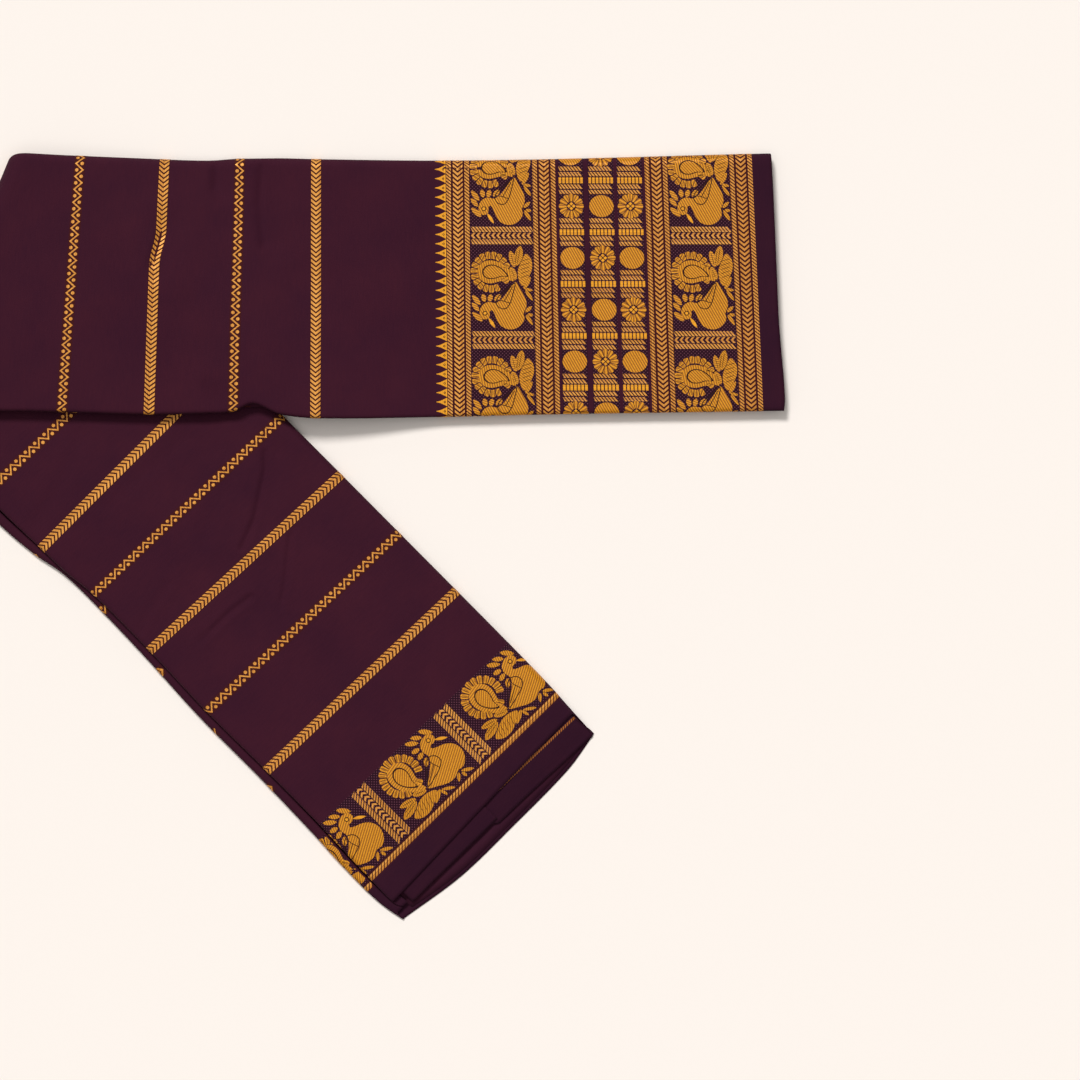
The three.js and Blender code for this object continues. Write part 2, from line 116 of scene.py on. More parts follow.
lower_leg = SimpleNamespace(
    heading=(math.sqrt(0.5), -math.sqrt(0.5)),
    side=(-math.sqrt(0.5), -math.sqrt(0.5)),
    mitre=1,
    edges=[
        (0, -0.5, 187.5, 196.5),
        (150, -3.0, 188.5, 197.0),
        (188, -3.4, 188.4, 196.5),
        (218, -3.6, 187.4, 193.6),
        (240, -3.6, 187.0, 189.4),
        (268, -3.6, 184.2, 188.6),
        (325, -3.5, 184.3, 190.0),
        (382, -3.3, 186.2, 192.8),
        (445, -3.1, 185.9, 193.0),
        (500, -2.8, 186.3, 194.4),
        (546, -2.0, 187.8, 196.2),
        (571, -0.6, 188.6, 195.6),
        (596, 0.6, 187.0, 191.0),
    ],
    ends=[
        (0, 571.4, 593.4, 591.0),
        (30, 572.0, 598.0, 595.6),
        (90, 573.3, 598.7, 596.4),
        (145, 574.6, 597.7, 595.4),
        (195, 576.0, 590.2, 587.2),
    ],
    lean=[
        (45, -4.5), (165, -4.5), (217, 0), (272, -6), (331, -7.6),
        (391, -7), (450, -5), (504, -3.5), (556, -1.5),
    ],
    creases=[
        ([(-52, 62), (-62, 8)], 0.9, 7.0),
        ([(-58, 80), (-58, 47), (-66, 12), (-75, -7)], 0.6, 2.5),
        ([(-38, 7), (-42, -18), (-46, -48)], 0.45, 2.3),
        ([(-68, -43), (-86, -56), (-104, -74)], 0.45, 2.3),
        ([(-58, 62), (-57.2, 52), (-65.2, 14), (-74.8, -8)], 0.6, 1.7),
        ([(-40.2, 2), (-42.9, -30.8), (-45.3, -44)], 0.5, 1.7),
        ([(-68.4, -42), (-81.3, -51.6), (-95.6, -66)], 0.5, 1.7),
        ([(-71.5, 85), (-73.4, 73)], 0.5, 1.7),
        ([(-114, 73), (-145, 48), (-172, 22)], 0.6, 3.4),
        ([(-190, 75), (-208, 33), (-226, 10)], 0.6, 3.8),
        ([(-196, 14), (-208, -2)], 0.3, 3.0),
        ([(-128, -33), (-145, -58), (-147, -67)], 0.45, 2.6),
        ([(-82, 44), (-96, 20), (-104, -6)], 0.3, 5.0),
        ([(-20, -40), (-34, -78), (-38, -110)], 0.25, 6.0),
        ([(20, -96), (4, -128)], 0.22, 7.0),
        ([(-88, -104), (-70, -130), (-62, -160)], 0.25, 6.0),
        ([(72, -150), (52, -172)], 0.2, 8.0),
    ],
)


def smooth(t):
    """A soft step from 0 to 1 as t goes from 0 to 1"""
    t = np.clip(t, 0, 1)
    return t * t * (3 - 2 * t)


def read_table(rows, column, place):
    """A column's value at a place in the table's first column, on a smooth curve through the rows"""
    keys = np.array([row[0] for row in rows], float)
    values = np.array([row[column] for row in rows], float)
    slopes = np.empty_like(values)
    slopes[1:-1] = (values[2:] - values[:-2]) / (keys[2:] - keys[:-2])
    slopes[0] = (values[1] - values[0]) / (keys[1] - keys[0])
    slopes[-1] = (values[-1] - values[-2]) / (keys[-1] - keys[-2])
    i = np.clip(np.searchsorted(keys, place, side="right") - 1, 0, len(keys) - 2)
    span = keys[i + 1] - keys[i]
    t = np.clip((place - keys[i]) / span, 0, 1)
    return (
        (2 * t**3 - 3 * t**2 + 1) * values[i]
        + (t**3 - 2 * t**2 + t) * slopes[i] * span
        + (3 * t**2 - 2 * t**3) * values[i + 1]
        + (t**3 - t**2) * slopes[i + 1] * span
    )


def section(leg, along, girth, out):
    """Across and height of a point of the outer cloth. Girth is measured round the leg from the middle of the
    closed fold, over the top where it is positive, and out is how far the point stands off the cloth."""
    closed = read_table(leg.edges, 1, along)
    edge = np.where(girth >= 0, read_table(leg.edges, 2, along), read_table(leg.edges, 3, along))
    way = np.abs(girth)
    face = edge - ROLL - closed - HALF
    past_face = way - QUARTER - face
    fold_turn = np.clip(way / HALF, 0, math.pi / 2)
    roll_turn = np.clip(past_face / ROLL, 0, math.pi)
    zones = [way < QUARTER, past_face < 0, past_face < math.pi * ROLL]
    across = np.select(
        zones,
        [
            closed + HALF - (HALF + out) * np.cos(fold_turn),
            closed + HALF + way - QUARTER,
            edge - ROLL + (ROLL + out) * np.sin(roll_turn),
        ],
        edge - ROLL - (past_face - math.pi * ROLL),
    )
    rise = np.select(
        zones,
        [(HALF + out) * np.sin(fold_turn), HALF + out, HALF - ROLL + (ROLL + out) * np.cos(roll_turn)],
        HALF - 2 * ROLL - out,
    )
    return across, HALF + np.where(girth >= 0, rise, -rise)


# The low ridge beside a crease: its height as a share of the crease's depth, and how far off and how wide it
# is as shares of the crease's width
RIDGE_HEIGHT, RIDGE_AWAY, RIDGE_WIDTH = 0.3, 2.2, 1.1


def creased(leg, x, y):
    """How deep the creases are under a point, with a low ridge beside each"""
    depth_here = np.zeros_like(x)
    for path, depth, width in leg.creases:
        nearest = np.full_like(x, 1e9)
        for (x1, y1), (x2, y2) in zip(path, path[1:]):
            dx, dy = x2 - x1, y2 - y1
            t = np.clip(((x - x1) * dx + (y - y1) * dy) / (dx * dx + dy * dy), 0, 1)
            nearest = np.minimum(nearest, np.hypot(x - x1 - t * dx, y - y1 - t * dy))
        depth_here += depth * np.exp(-((nearest / width) ** 2))
        from_ridge = (nearest - RIDGE_AWAY * width) / (RIDGE_WIDTH * width)
        depth_here -= RIDGE_HEIGHT * depth * np.exp(-(from_ridge**2))
    return depth_here


# wavelength, heading in degrees, phase, height
WAVES = [
    (74, 62, 0.4, 0.16), (47, 118, 2.1, 0.1), (118, 20, 4.0, 0.2), (31, 84, 5.2, 0.05), (58, 155, 1.2, 0.08),
]


def slack(x, y):
    """The soft troughs and ridges left in pressed cloth, which wander a little from straight"""
    height = np.zeros_like(x)
    for length, degrees, phase, size in WAVES:
        way = x * math.cos(math.radians(degrees)) + y * math.sin(math.radians(degrees))
        height += size * np.sin(2 * math.pi * way / length + phase + 0.8 * np.sin(way / 61 + y / 83))
    return height


def lie(leg, along, across, height):
    """Where a point of a flat, straight leg lies in the folded saree, in millimetres from the origin"""
    x = CORNER[0] + along * leg.heading[0] + across * leg.side[0]
    y = CORNER[1] + along * leg.heading[1] + across * leg.side[1]
    share = height / THICK
    from_crease = (x - CORNER[0]) * TURN_IN[0] + (y - CORNER[1]) * TURN_IN[1]
    middle = np.sin(math.pi * np.clip(across / STRIP_WIDTH, 0, 1)) * smooth((from_crease - TURN) / FADE)
    z = height + share * (slack(x, y) * middle - creased(leg, x, y))
    if leg is top_leg:
        outward = -(x - CORNER[0]) * lower_leg.side[0] - (y - CORNER[1]) * lower_leg.side[1]
        z += (THICK + GAP) * (1 - smooth((outward - DESCENT_START) / DESCENT)) + share * CROWN * middle
    else:
        clear_of_top_leg = smooth((CORNER[1] - STRIP_WIDTH - THICK - y) / FADE)
        drop = END_DROP * smooth((along - END_DROP_FROM) / END_DROP_LENGTH)
        z += share * (CROWN * middle * clear_of_top_leg - drop)
    # Past the crease line the top leg turns over, down to where the lower leg begins
    turning = (from_crease < TURN) & (leg is top_leg)
    turn = np.clip((TURN - from_crease) / TURN, 0, math.pi)
    radius = z - TURN
    edge_across = across / math.cos(HALF_ANGLE)
    start = TURN * math.tan(HALF_ANGLE)
    way = edge_across + start * (2 * turn / math.pi - 1)
    out = TURN - radius * np.sin(turn)
    x = np.where(turning, CORNER[0] + way * CREASE_WAY[0] + out * TURN_IN[0], x)
    y = np.where(turning, CORNER[1] + way * CREASE_WAY[1] + out * TURN_IN[1], y)
    z = np.where(turning, TURN + radius * np.cos(turn), z)
    return np.stack([x, y, z + CLEAR], axis=-1)


def skin(leg, along, girth, out=0.0):
    """Where a point of a leg's outer cloth lies in the folded saree, or one that stands off that cloth"""
    across, height = section(leg, along, girth, out)
    return lie(leg, along, across, height)


def woven(leg, along, girth):
    """The cloth's own coordinates of a place on a leg: along the strip, and across it from the closed fold"""
    across = girth + read_table(leg.edges, 1, along) - FOLD_SHIFT
    first = along - read_table(leg.lean, 1, along) * across / STRIP_WIDTH
    return along - read_table(leg.lean, 1, first) * across / STRIP_WIDTH, across


def spaced(*stretches):
    """Places from one stretch to the next, each (from, to, step)"""
    places = []
    for start, stop, step in stretches:
        count = max(1, round((stop - start) / step))
        places += [start + (stop - start) * i / count for i in range(count)]
    return np.array(places + [stretches[-1][1]])


ROLL_STEPS, FOLD_STEPS, UNDER_STEP = 10, 8, 6.0  # round a roll, round half the closed fold, and under the leg


def columns_round(face_places):
    """Columns of a sheet round the leg, from the tuck under the upper roll to the one over the lower roll.
    Each is a side, a zone and a share of that zone."""
    roll, fold = np.linspace(0, 1, ROLL_STEPS + 1)[1:], np.linspace(0, 1, FOLD_STEPS + 1)
    over = [("tuck", s) for s in (1.0, 0.5)] + [("roll", s) for s in roll[::-1]]
    over += [("face", s) for s in face_places[::-1] / STRIP_WIDTH] + [("fold", s) for s in fold[-2:0:-1]]
    under = [("fold", s) for s in fold]
    under += [("face", s) for s in np.linspace(0, 1, round(STRIP_WIDTH / UNDER_STEP))[1:]]
    under += [("roll", s) for s in roll] + [("tuck", s) for s in (0.5, 1.0)]
    return [(1, *column) for column in over] + [(-1, *column) for column in under]


def girth_at(leg, along, side, zone, share):
    """Girth of a column at a place along the leg"""
    edge = read_table(leg.edges, 2 if side > 0 else 3, along)
    face = edge - ROLL - read_table(leg.edges, 1, along) - HALF
    starts = {"fold": 0, "face": QUARTER, "roll": QUARTER + face, "tuck": QUARTER + face + math.pi * ROLL}
    lengths = {"fold": QUARTER, "face": face, "roll": math.pi * ROLL, "tuck": TUCK - ROLL}
    return side * (starts[zone] + share * lengths[zone])


def crease_start(leg, across, reach=TURN):
    """Where along the leg a line beside the crease is crossed, which is reach away from it"""
    return (reach + leg.mitre * math.sin(HALF_ANGLE) * across) / math.cos(HALF_ANGLE)


def end_of(leg, across, height):
    """The end of the outer cloth, which runs a little further in the upper layers than in the lowest"""
    upperness = smooth((height - 2) / (THICK - 4))
    low = read_table(leg.ends, 2, across)
    return low + (read_table(leg.ends, 1, across) - low) * upperness


def leg_grid(leg, columns, places, turn_steps, out=0.0, end_at=end_of):
    """Points and woven coordinates of a sheet round a leg: a row for each place, and a column for each of
    columns. turn_steps more rows go round the crease."""
    first = crease_start(leg, STRIP_WIDTH / 2)
    points, flat = [], []
    turns = np.linspace(math.pi, 0, turn_steps + 1)[:-1]
    for kind, value in [("turn", turn) for turn in turns] + [("leg", place) for place in places]:
        nominal = first + (FULL_LENGTH - first) * value if kind == "leg" else first
        girth = np.array([float(girth_at(leg, nominal, *column)) for column in columns])
        across, height = section(leg, np.full_like(girth, nominal), girth, 0.0)
        if kind == "turn":
            along = crease_start(leg, across, TURN * (1 - value))
        else:
            start = crease_start(leg, across)
            along = start + (end_at(leg, across, height) - start) * value
        girth = np.array([float(girth_at(leg, a, *column)) for a, column in zip(along, columns)])
        points.append(skin(leg, along, girth, out))
        flat.append(np.stack(woven(leg, along, girth), axis=-1))
    return np.array(points), np.array(flat)


def add_uv_map(mesh, name, coordinates):
    """A UV map from one pair of coordinates for each vertex"""
    uv = mesh.uv_layers.new(name=name)
    corner_vertices = np.empty(len(mesh.loops), dtype=np.int32)
    mesh.loops.foreach_get("vertex_index", corner_vertices)
    uv.data.foreach_set("uv", np.array(coordinates, np.float32)[corner_vertices].ravel())


def sheet_object(name, grids, material, thickness=CLOTH):
    """A thin closed cloth made of one or more grids of points, each with its woven coordinates as UV map"""
    points, faces, flat = [], [], []
    for grid, coordinates in grids:
        rows, columns = grid.shape[:2]
        first = len(points)
        points += (grid.reshape(-1, 3) * MM).tolist()
        flat += (coordinates.reshape(-1, 2) * MM).tolist()
        for i in range(rows - 1):
            for j in range(columns - 1):
                a = first + i * columns + j
                faces.append((a, a + columns, a + columns + 1, a + 1))
    mesh = bpy.data.meshes.new(name)
    mesh.from_pydata(points, [], faces)
    add_uv_map(mesh, "woven", flat)
    piece = bpy.data.objects.new(name, mesh)
    bpy.context.collection.objects.link(piece)
    mesh.materials.append(material)
    bpy.ops.object.select_all(action="DESELECT")
    bpy.context.view_layer.objects.active = piece
    piece.select_set(True)
    wall = piece.modifiers.new("wall", "SOLIDIFY")
    wall.thickness = thickness * MM
    wall.offset = -1
    bpy.ops.object.modifier_apply(modifier="wall")
    bpy.ops.object.shade_smooth()
    bpy.ops.object.select_all(action="DESELECT")
    return piece


def new_group(name, inputs, outputs):
    """A shader group with named sockets: its tree, its input node and its output node"""
    tree = bpy.data.node_groups.new(name, "ShaderNodeTree")
    for kind, sockets in (("INPUT", inputs), ("OUTPUT", outputs)):
        for socket, socket_type in sockets:
            tree.interface.new_socket(name=socket, in_out=kind, socket_type=socket_type)
    return tree, tree.nodes.new("NodeGroupInput"), tree.nodes.new("NodeGroupOutput")


def maths(tree, operation, first, second=None, third=None):
    """The result of one calculation. Each value is a socket or a number."""
    node = tree.nodes.new("ShaderNodeMath")
    node.operation = operation
    for socket, value in zip(node.inputs, (first, second, third)):
        if isinstance(value, (int, float)):
            socket.default_value = value
        elif value is not None:
            tree.links.new(value, socket)
    return node.outputs[0]


def split_up(tree, vector):
    """The X and Y of a vector"""
    node = tree.nodes.new("ShaderNodeSeparateXYZ")
    tree.links.new(vector, node.inputs[0])
    return node.outputs["X"], node.outputs["Y"]


def noise(tree, vector, scale, detail):
    node = tree.nodes.new("ShaderNodeTexNoise")
    node.inputs["Scale"].default_value = scale
    node.inputs["Detail"].default_value = detail
    tree.links.new(vector, node.inputs["Vector"])
    return node.outputs["Fac"]


def two_tones(tree, tone, dark, light, margin):
    """A colour that goes from dark to light as the tone goes from margin to 1 - margin"""
    ramp = tree.nodes.new("ShaderNodeValToRGB")
    for element, place, colour in zip(ramp.color_ramp.elements, (margin, 1 - margin), (dark, light)):
        element.position = place
        element.color = (*colour, 1)
    tree.links.new(tone, ramp.inputs[0])
    return ramp.outputs[0]


def mixed(tree, factor, first, second, blend="MIX"):
    """The first colour mixed with the second. Each is a socket or a fixed colour."""
    node = tree.nodes.new("ShaderNodeMix")
    node.data_type = "RGBA"
    node.blend_type = blend
    tree.links.new(factor, node.inputs["Factor"])
    for name, colour in (("A", first), ("B", second)):
        if isinstance(colour, tuple):
            node.inputs[name].default_value = (*colour, 1)
        else:
            tree.links.new(colour, node.inputs[name])
    return node.outputs["Result"]


def thread_material(name, uv_map, roughness, specular):
    """A new material, its tree, its shader and the coordinates of one of the mesh's UV maps"""
    material = bpy.data.materials.new(name)
    material.use_nodes = True
    tree = material.node_tree
    shader = tree.nodes["Principled BSDF"]
    shader.inputs["Roughness"].default_value = roughness
    shader.inputs["Specular IOR Level"].default_value = specular
    uv = tree.nodes.new("ShaderNodeUVMap")
    uv.uv_map = uv_map
    return material, tree, shader, uv.outputs[0]


def colour_and_bump(tree, shader, colour, height, strength, distance):
    tree.links.new(colour, shader.inputs["Base Color"])
    bump = tree.nodes.new("ShaderNodeBump")
    bump.inputs["Strength"].default_value = strength
    bump.inputs["Distance"].default_value = distance
    tree.links.new(height, bump.inputs["Height"])
    tree.links.new(bump.outputs[0], shader.inputs["Normal"])


# Plain weave with slubs: thread by thread bump, and the uneven dye of handloom cotton
weave, weave_in, weave_out = new_group(
    "plain_weave",
    [("Vector", "NodeSocketVector"), ("Threads per metre", "NodeSocketFloat")],
    [("Height", "NodeSocketFloat"), ("Thread tone", "NodeSocketFloat"), ("Dye", "NodeSocketFloat")],
)
woven_x, woven_y = split_up(weave, weave_in.outputs["Vector"])
turns_per_metre = maths(weave, "MULTIPLY", weave_in.outputs["Threads per metre"], math.pi)
warp = maths(weave, "SINE", maths(weave, "MULTIPLY", woven_x, turns_per_metre))
weft = maths(weave, "SINE", maths(weave, "MULTIPLY", woven_y, turns_per_metre))
stretched = weave.nodes.new("ShaderNodeMapping")
stretched.inputs["Scale"].default_value = (900, 90, 1)
weave.links.new(weave_in.outputs["Vector"], stretched.inputs["Vector"])
slub = noise(weave, stretched.outputs[0], 1.0, 3.0)
dye = noise(weave, weave_in.outputs["Vector"], 26.0, 4.0)
crossing = maths(weave, "MULTIPLY", warp, weft)
height = maths(weave, "ADD", maths(weave, "MULTIPLY", crossing, 0.5), slub)
weave.links.new(height, weave_out.inputs["Height"])
weave.links.new(slub, weave_out.inputs["Thread tone"])
weave.links.new(dye, weave_out.inputs["Dye"])
THREADS = 2600  # for each metre
SLUB_SHARE, DYE_SHARE = 0.35, 0.65
SELVEDGE_SHADE = (0.72, 0.82, 0.92)


def cotton(name, dark, light, selvedge_from=None):
    """Plain woven cotton. From selvedge_from on, along the strip, its dye is a little darker."""
    material, tree, shader, place = thread_material(name, "woven", 0.82, 0.08)
    group = tree.nodes.new("ShaderNodeGroup")
    group.node_tree = weave
    group.inputs["Threads per metre"].default_value = THREADS
    tree.links.new(place, group.inputs["Vector"])
    tone = maths(tree, "MULTIPLY", group.outputs["Thread tone"], SLUB_SHARE)
    tone = maths(tree, "ADD", tone, maths(tree, "MULTIPLY", group.outputs["Dye"], DYE_SHARE))
    colour = two_tones(tree, tone, dark, light, 0.32)
    if selvedge_from is not None:
        at_selvedge = maths(tree, "GREATER_THAN", split_up(tree, place)[0], selvedge_from)
        colour = mixed(tree, at_selvedge, colour, SELVEDGE_SHADE, "MULTIPLY")
    colour_and_bump(tree, shader, colour, group.outputs["Height"], 0.5, 0.00012)
    shader.inputs["Sheen Weight"].default_value = 0.02
    shader.inputs["Sheen Roughness"].default_value = 0.5
    shader.inputs["Sheen Tint"].default_value = (0.75, 0.5, 0.62, 1)
    return material


DYES = (0.036, 0.0060, 0.0170), (0.048, 0.0078, 0.0182)
maroon_cotton = cotton("maroon_cotton", *DYES, selvedge_from=0.533)

top_face = spaced((0, 187, 2.1))
top_places = spaced((0, 80, 3.0), (80, 200, 1.6), (200, FULL_LENGTH, 3.0)) / FULL_LENGTH
TURN_STEPS = 16  # rows round the crease
top_grid = leg_grid(top_leg, columns_round(top_face), top_places, TURN_STEPS)
top_cloth = sheet_object("top_leg_cloth", [top_grid], maroon_cotton)
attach(top_cloth, "root")
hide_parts("top_leg_outer_fold", "crease_outer_turn")


# Outer cloth of the lower leg. The same layer of cotton, on the other side of the diagonal crease. It lies
# flat on the floor, and fine creases cross it where the top leg's weight ends.
lower_cotton = cotton("lower_cotton", *DYES, selvedge_from=0.557)
lower_face = spaced((0, 12, 2.5), (12, 155, 1.45), (155, 187, 2.5))
lower_places = spaced((0, 250, 5.0), (250, 385, 1.4), (385, FULL_LENGTH, 2.8)) / FULL_LENGTH
lower_grid = leg_grid(lower_leg, columns_round(lower_face), lower_places, 0)
lower_cloth = sheet_object("lower_leg_cloth", [lower_grid], lower_cotton)
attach(lower_cloth, "root")
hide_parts("lower_leg_outer_fold")


# Layers inside each leg. They are the same strip of cotton, folded over and over, and only their selvedges
# show, at the free ends, where no two layers stop at quite the same place.
inner_cotton = cotton("inner_cotton", (0.034, 0.0066, 0.0185), (0.045, 0.0084, 0.0195))
FIRST_LAYER = 1.15  # under the outer cloth
LAYER_PITCH = 0.86
LAYER_CLOTH = 0.42  # thickness that is drawn
LAYER_REACH = 0.955  # share of the face, past which a layer stops short of the rolls
LAYER_COLUMNS = 18
PRESSED_FROM, PRESSED_LENGTH, PRESSED_TO = 556.0, 30.0, 0.75  # along, along, height
# how far each layer is pushed out at the end, over and under
TOP_PUSHES = [(-0.3, -1.4), (-2.3, 0.3), (-0.8, -2.0), (-2.6, -0.4), (0.1, -2.4)]
LOWER_PUSHES = [(-12.0, -0.6), (-14.0, -8.0), (-12.6, -8.6), (-14.4, -9.4), (-13.0, -10.2)]


def layer_columns():
    """Columns of a layer round the leg, like those of the outer cloth but for the rolls"""
    face = np.linspace(0, LAYER_REACH, LAYER_COLUMNS)
    over = [("face", s) for s in face[::-1]] + [("fold", s) for s in (0.75, 0.5, 0.25)]
    under = [("fold", s) for s in (0, 0.25, 0.5, 0.75)] + [("face", s) for s in face]
    return [(1, *column) for column in over] + [(-1, *column) for column in under]


def inner_layers(name, leg, places, turn_steps, pushes, room_at, pressed=0.0):
    """All the layers of a leg as one mesh, pressed together at the end by a share of their height"""
    grids = []
    for k, (push_over, push_under) in enumerate(pushes):
        out = -(FIRST_LAYER + LAYER_PITCH * k)

        def end_at(leg, across, height, over=push_over, under=push_under):
            return read_table(leg.ends, 3, across) + np.where(height > HALF, over, under)

        grid, flat = leg_grid(leg, layer_columns(), places, turn_steps, out, end_at)
        heading = np.array([*leg.heading, 0.0])
        along = (grid - np.array([*CORNER, 0.0])) @ heading
        level = (grid[..., 2] - HALF) / (HALF + FIRST_LAYER)
        grid[..., 2] -= room_at(along) * np.clip(level, 0, 1)
        share = pressed * smooth((along - PRESSED_FROM) / PRESSED_LENGTH)
        grid[..., 2] -= (grid[..., 2] - PRESSED_TO) * share
        grids.append((grid, flat))
    piece = sheet_object(name, grids, inner_cotton, LAYER_CLOTH)
    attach(piece, "root")
    return piece


def room_for_creases(along):
    """The layers inside lie lower where the outer cloth is creased, and rise to their place at the end"""
    return 2.0 * (1 - smooth((along - 490) / 50))


def room_for_end_folds(along):
    """They sink again where two more folds lie on them"""
    return np.maximum(room_for_creases(along), 3.2 * smooth((along - 500) / 30))


top_places = spaced((0, 500, 25), (500, FULL_LENGTH, 10)) / FULL_LENGTH
top_layers = inner_layers(
    "top_leg_layers", top_leg, top_places, TURN_STEPS // 2, TOP_PUSHES, room_for_creases
)
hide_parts("top_leg_inner_layers", "crease_inner_turn")
lower_places = spaced((0, 450, 30), (450, FULL_LENGTH, 5)) / FULL_LENGTH
lower_layers = inner_layers(
    "lower_leg_layers", lower_leg, lower_places, 0, LOWER_PUSHES, room_for_end_folds, pressed=0.62
)
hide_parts("lower_leg_inner_layers")


# Two more folds that show at the lower end, where the strip's layers have slipped out from under each
# other. One starts at the closed fold, and the other is a corner that lies on it. Both are hand-folded.
SECOND_TOP = ([84, 94], [10.2, 9.4])  # height of each fold at places across the leg
CORNER_TOP = ([0], [10.9])
BEND = 4.0  # radius of the second fold's bend at the closed fold
BEND_EDGE = 0.4  # height between the bend and the fold's flat stretch
BEND_TURNS = np.radians([0, 15, 30, 45, 60, 75])
FOLD_ROWS, FOLD_COLUMNS = 26, 40
# the second fold's end is turned in where the corner fold lies on it: by how much, and from where across
TURNED_IN, TURNED_IN_FROM = 5.0, 95.0


def end_dip(along):
    """How far the folds are pressed down towards their free ends"""
    return 5.2 * smooth((along - 566) / 30) + 1.2 * smooth((along - 582) / 10)


def end_fold(name, node, start, stop, from_along, end_at_fold, end, top, bend):
    """A fold from start to stop across the leg. bend tells whether it goes down round the closed fold."""
    turns = BEND_TURNS if bend else []
    rows, flat = [], []
    for f in np.linspace(0, 1, FOLD_ROWS):
        nominal = from_along + (end - from_along) * f
        closed = float(read_table(lower_leg.edges, 1, nominal))
        reach = BEND + 2.4 * float(smooth((nominal - 574) / 14))
        across = [closed + HALF - reach * math.cos(t) for t in turns]
        first = closed + HALF if bend else start
        across = np.array(across + list(np.linspace(first, stop, FOLD_COLUMNS)))
        lowered = [(BEND + BEND_EDGE) * (1 - math.sin(t)) for t in turns]
        height = np.interp(across, *top) - np.array(lowered + [0.0] * FOLD_COLUMNS)
        ends = end_at_fold + (end - end_at_fold) * smooth((across - start) / 90)
        if bend:
            ends = ends - TURNED_IN * smooth((across - TURNED_IN_FROM) / 4)
        along = from_along + (ends - from_along) * f
        # the free edge is pressed down, and so is the long one
        height = height - end_dip(along) - 0.4 * smooth((across - stop + 5) / 5)
        rows.append(lie(lower_leg, along, across, height))
        flat.append(np.stack([along, across], axis=-1))
    grid = np.array(rows)[:, ::-1]
    piece = sheet_object(name, [(grid, np.array(flat)[:, ::-1])], lower_cotton)
    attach(piece, "root")
    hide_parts(node)
    return piece


second_fold = end_fold("second_fold", "lower_end_second_fold", 0, 128, 532, 592.8, 590, SECOND_TOP, True)
corner_fold = end_fold("corner_fold", "lower_end_corner_fold", 92.5, 178, 536, 586.6, 586, CORNER_TOP, False)


# Woven patterns. Gold-wrapped thread is woven in on the surface, so it stands a little above the cotton.
# Each figure is drawn flat in the cloth's own coordinates, in millimetres along the strip and across it
# from the closed fold, and is then laid on the folded cloth.
def cut(bm, point, way, drop_outer=False):
    """Cuts every figure with a plane, and can drop what lies past it"""
    geometry = bm.verts[:] + bm.edges[:] + bm.faces[:]
    return bmesh.ops.bisect_plane(
        bm, geom=geometry, plane_co=point, plane_no=way, clear_outer=drop_outer, dist=1e-5
    )


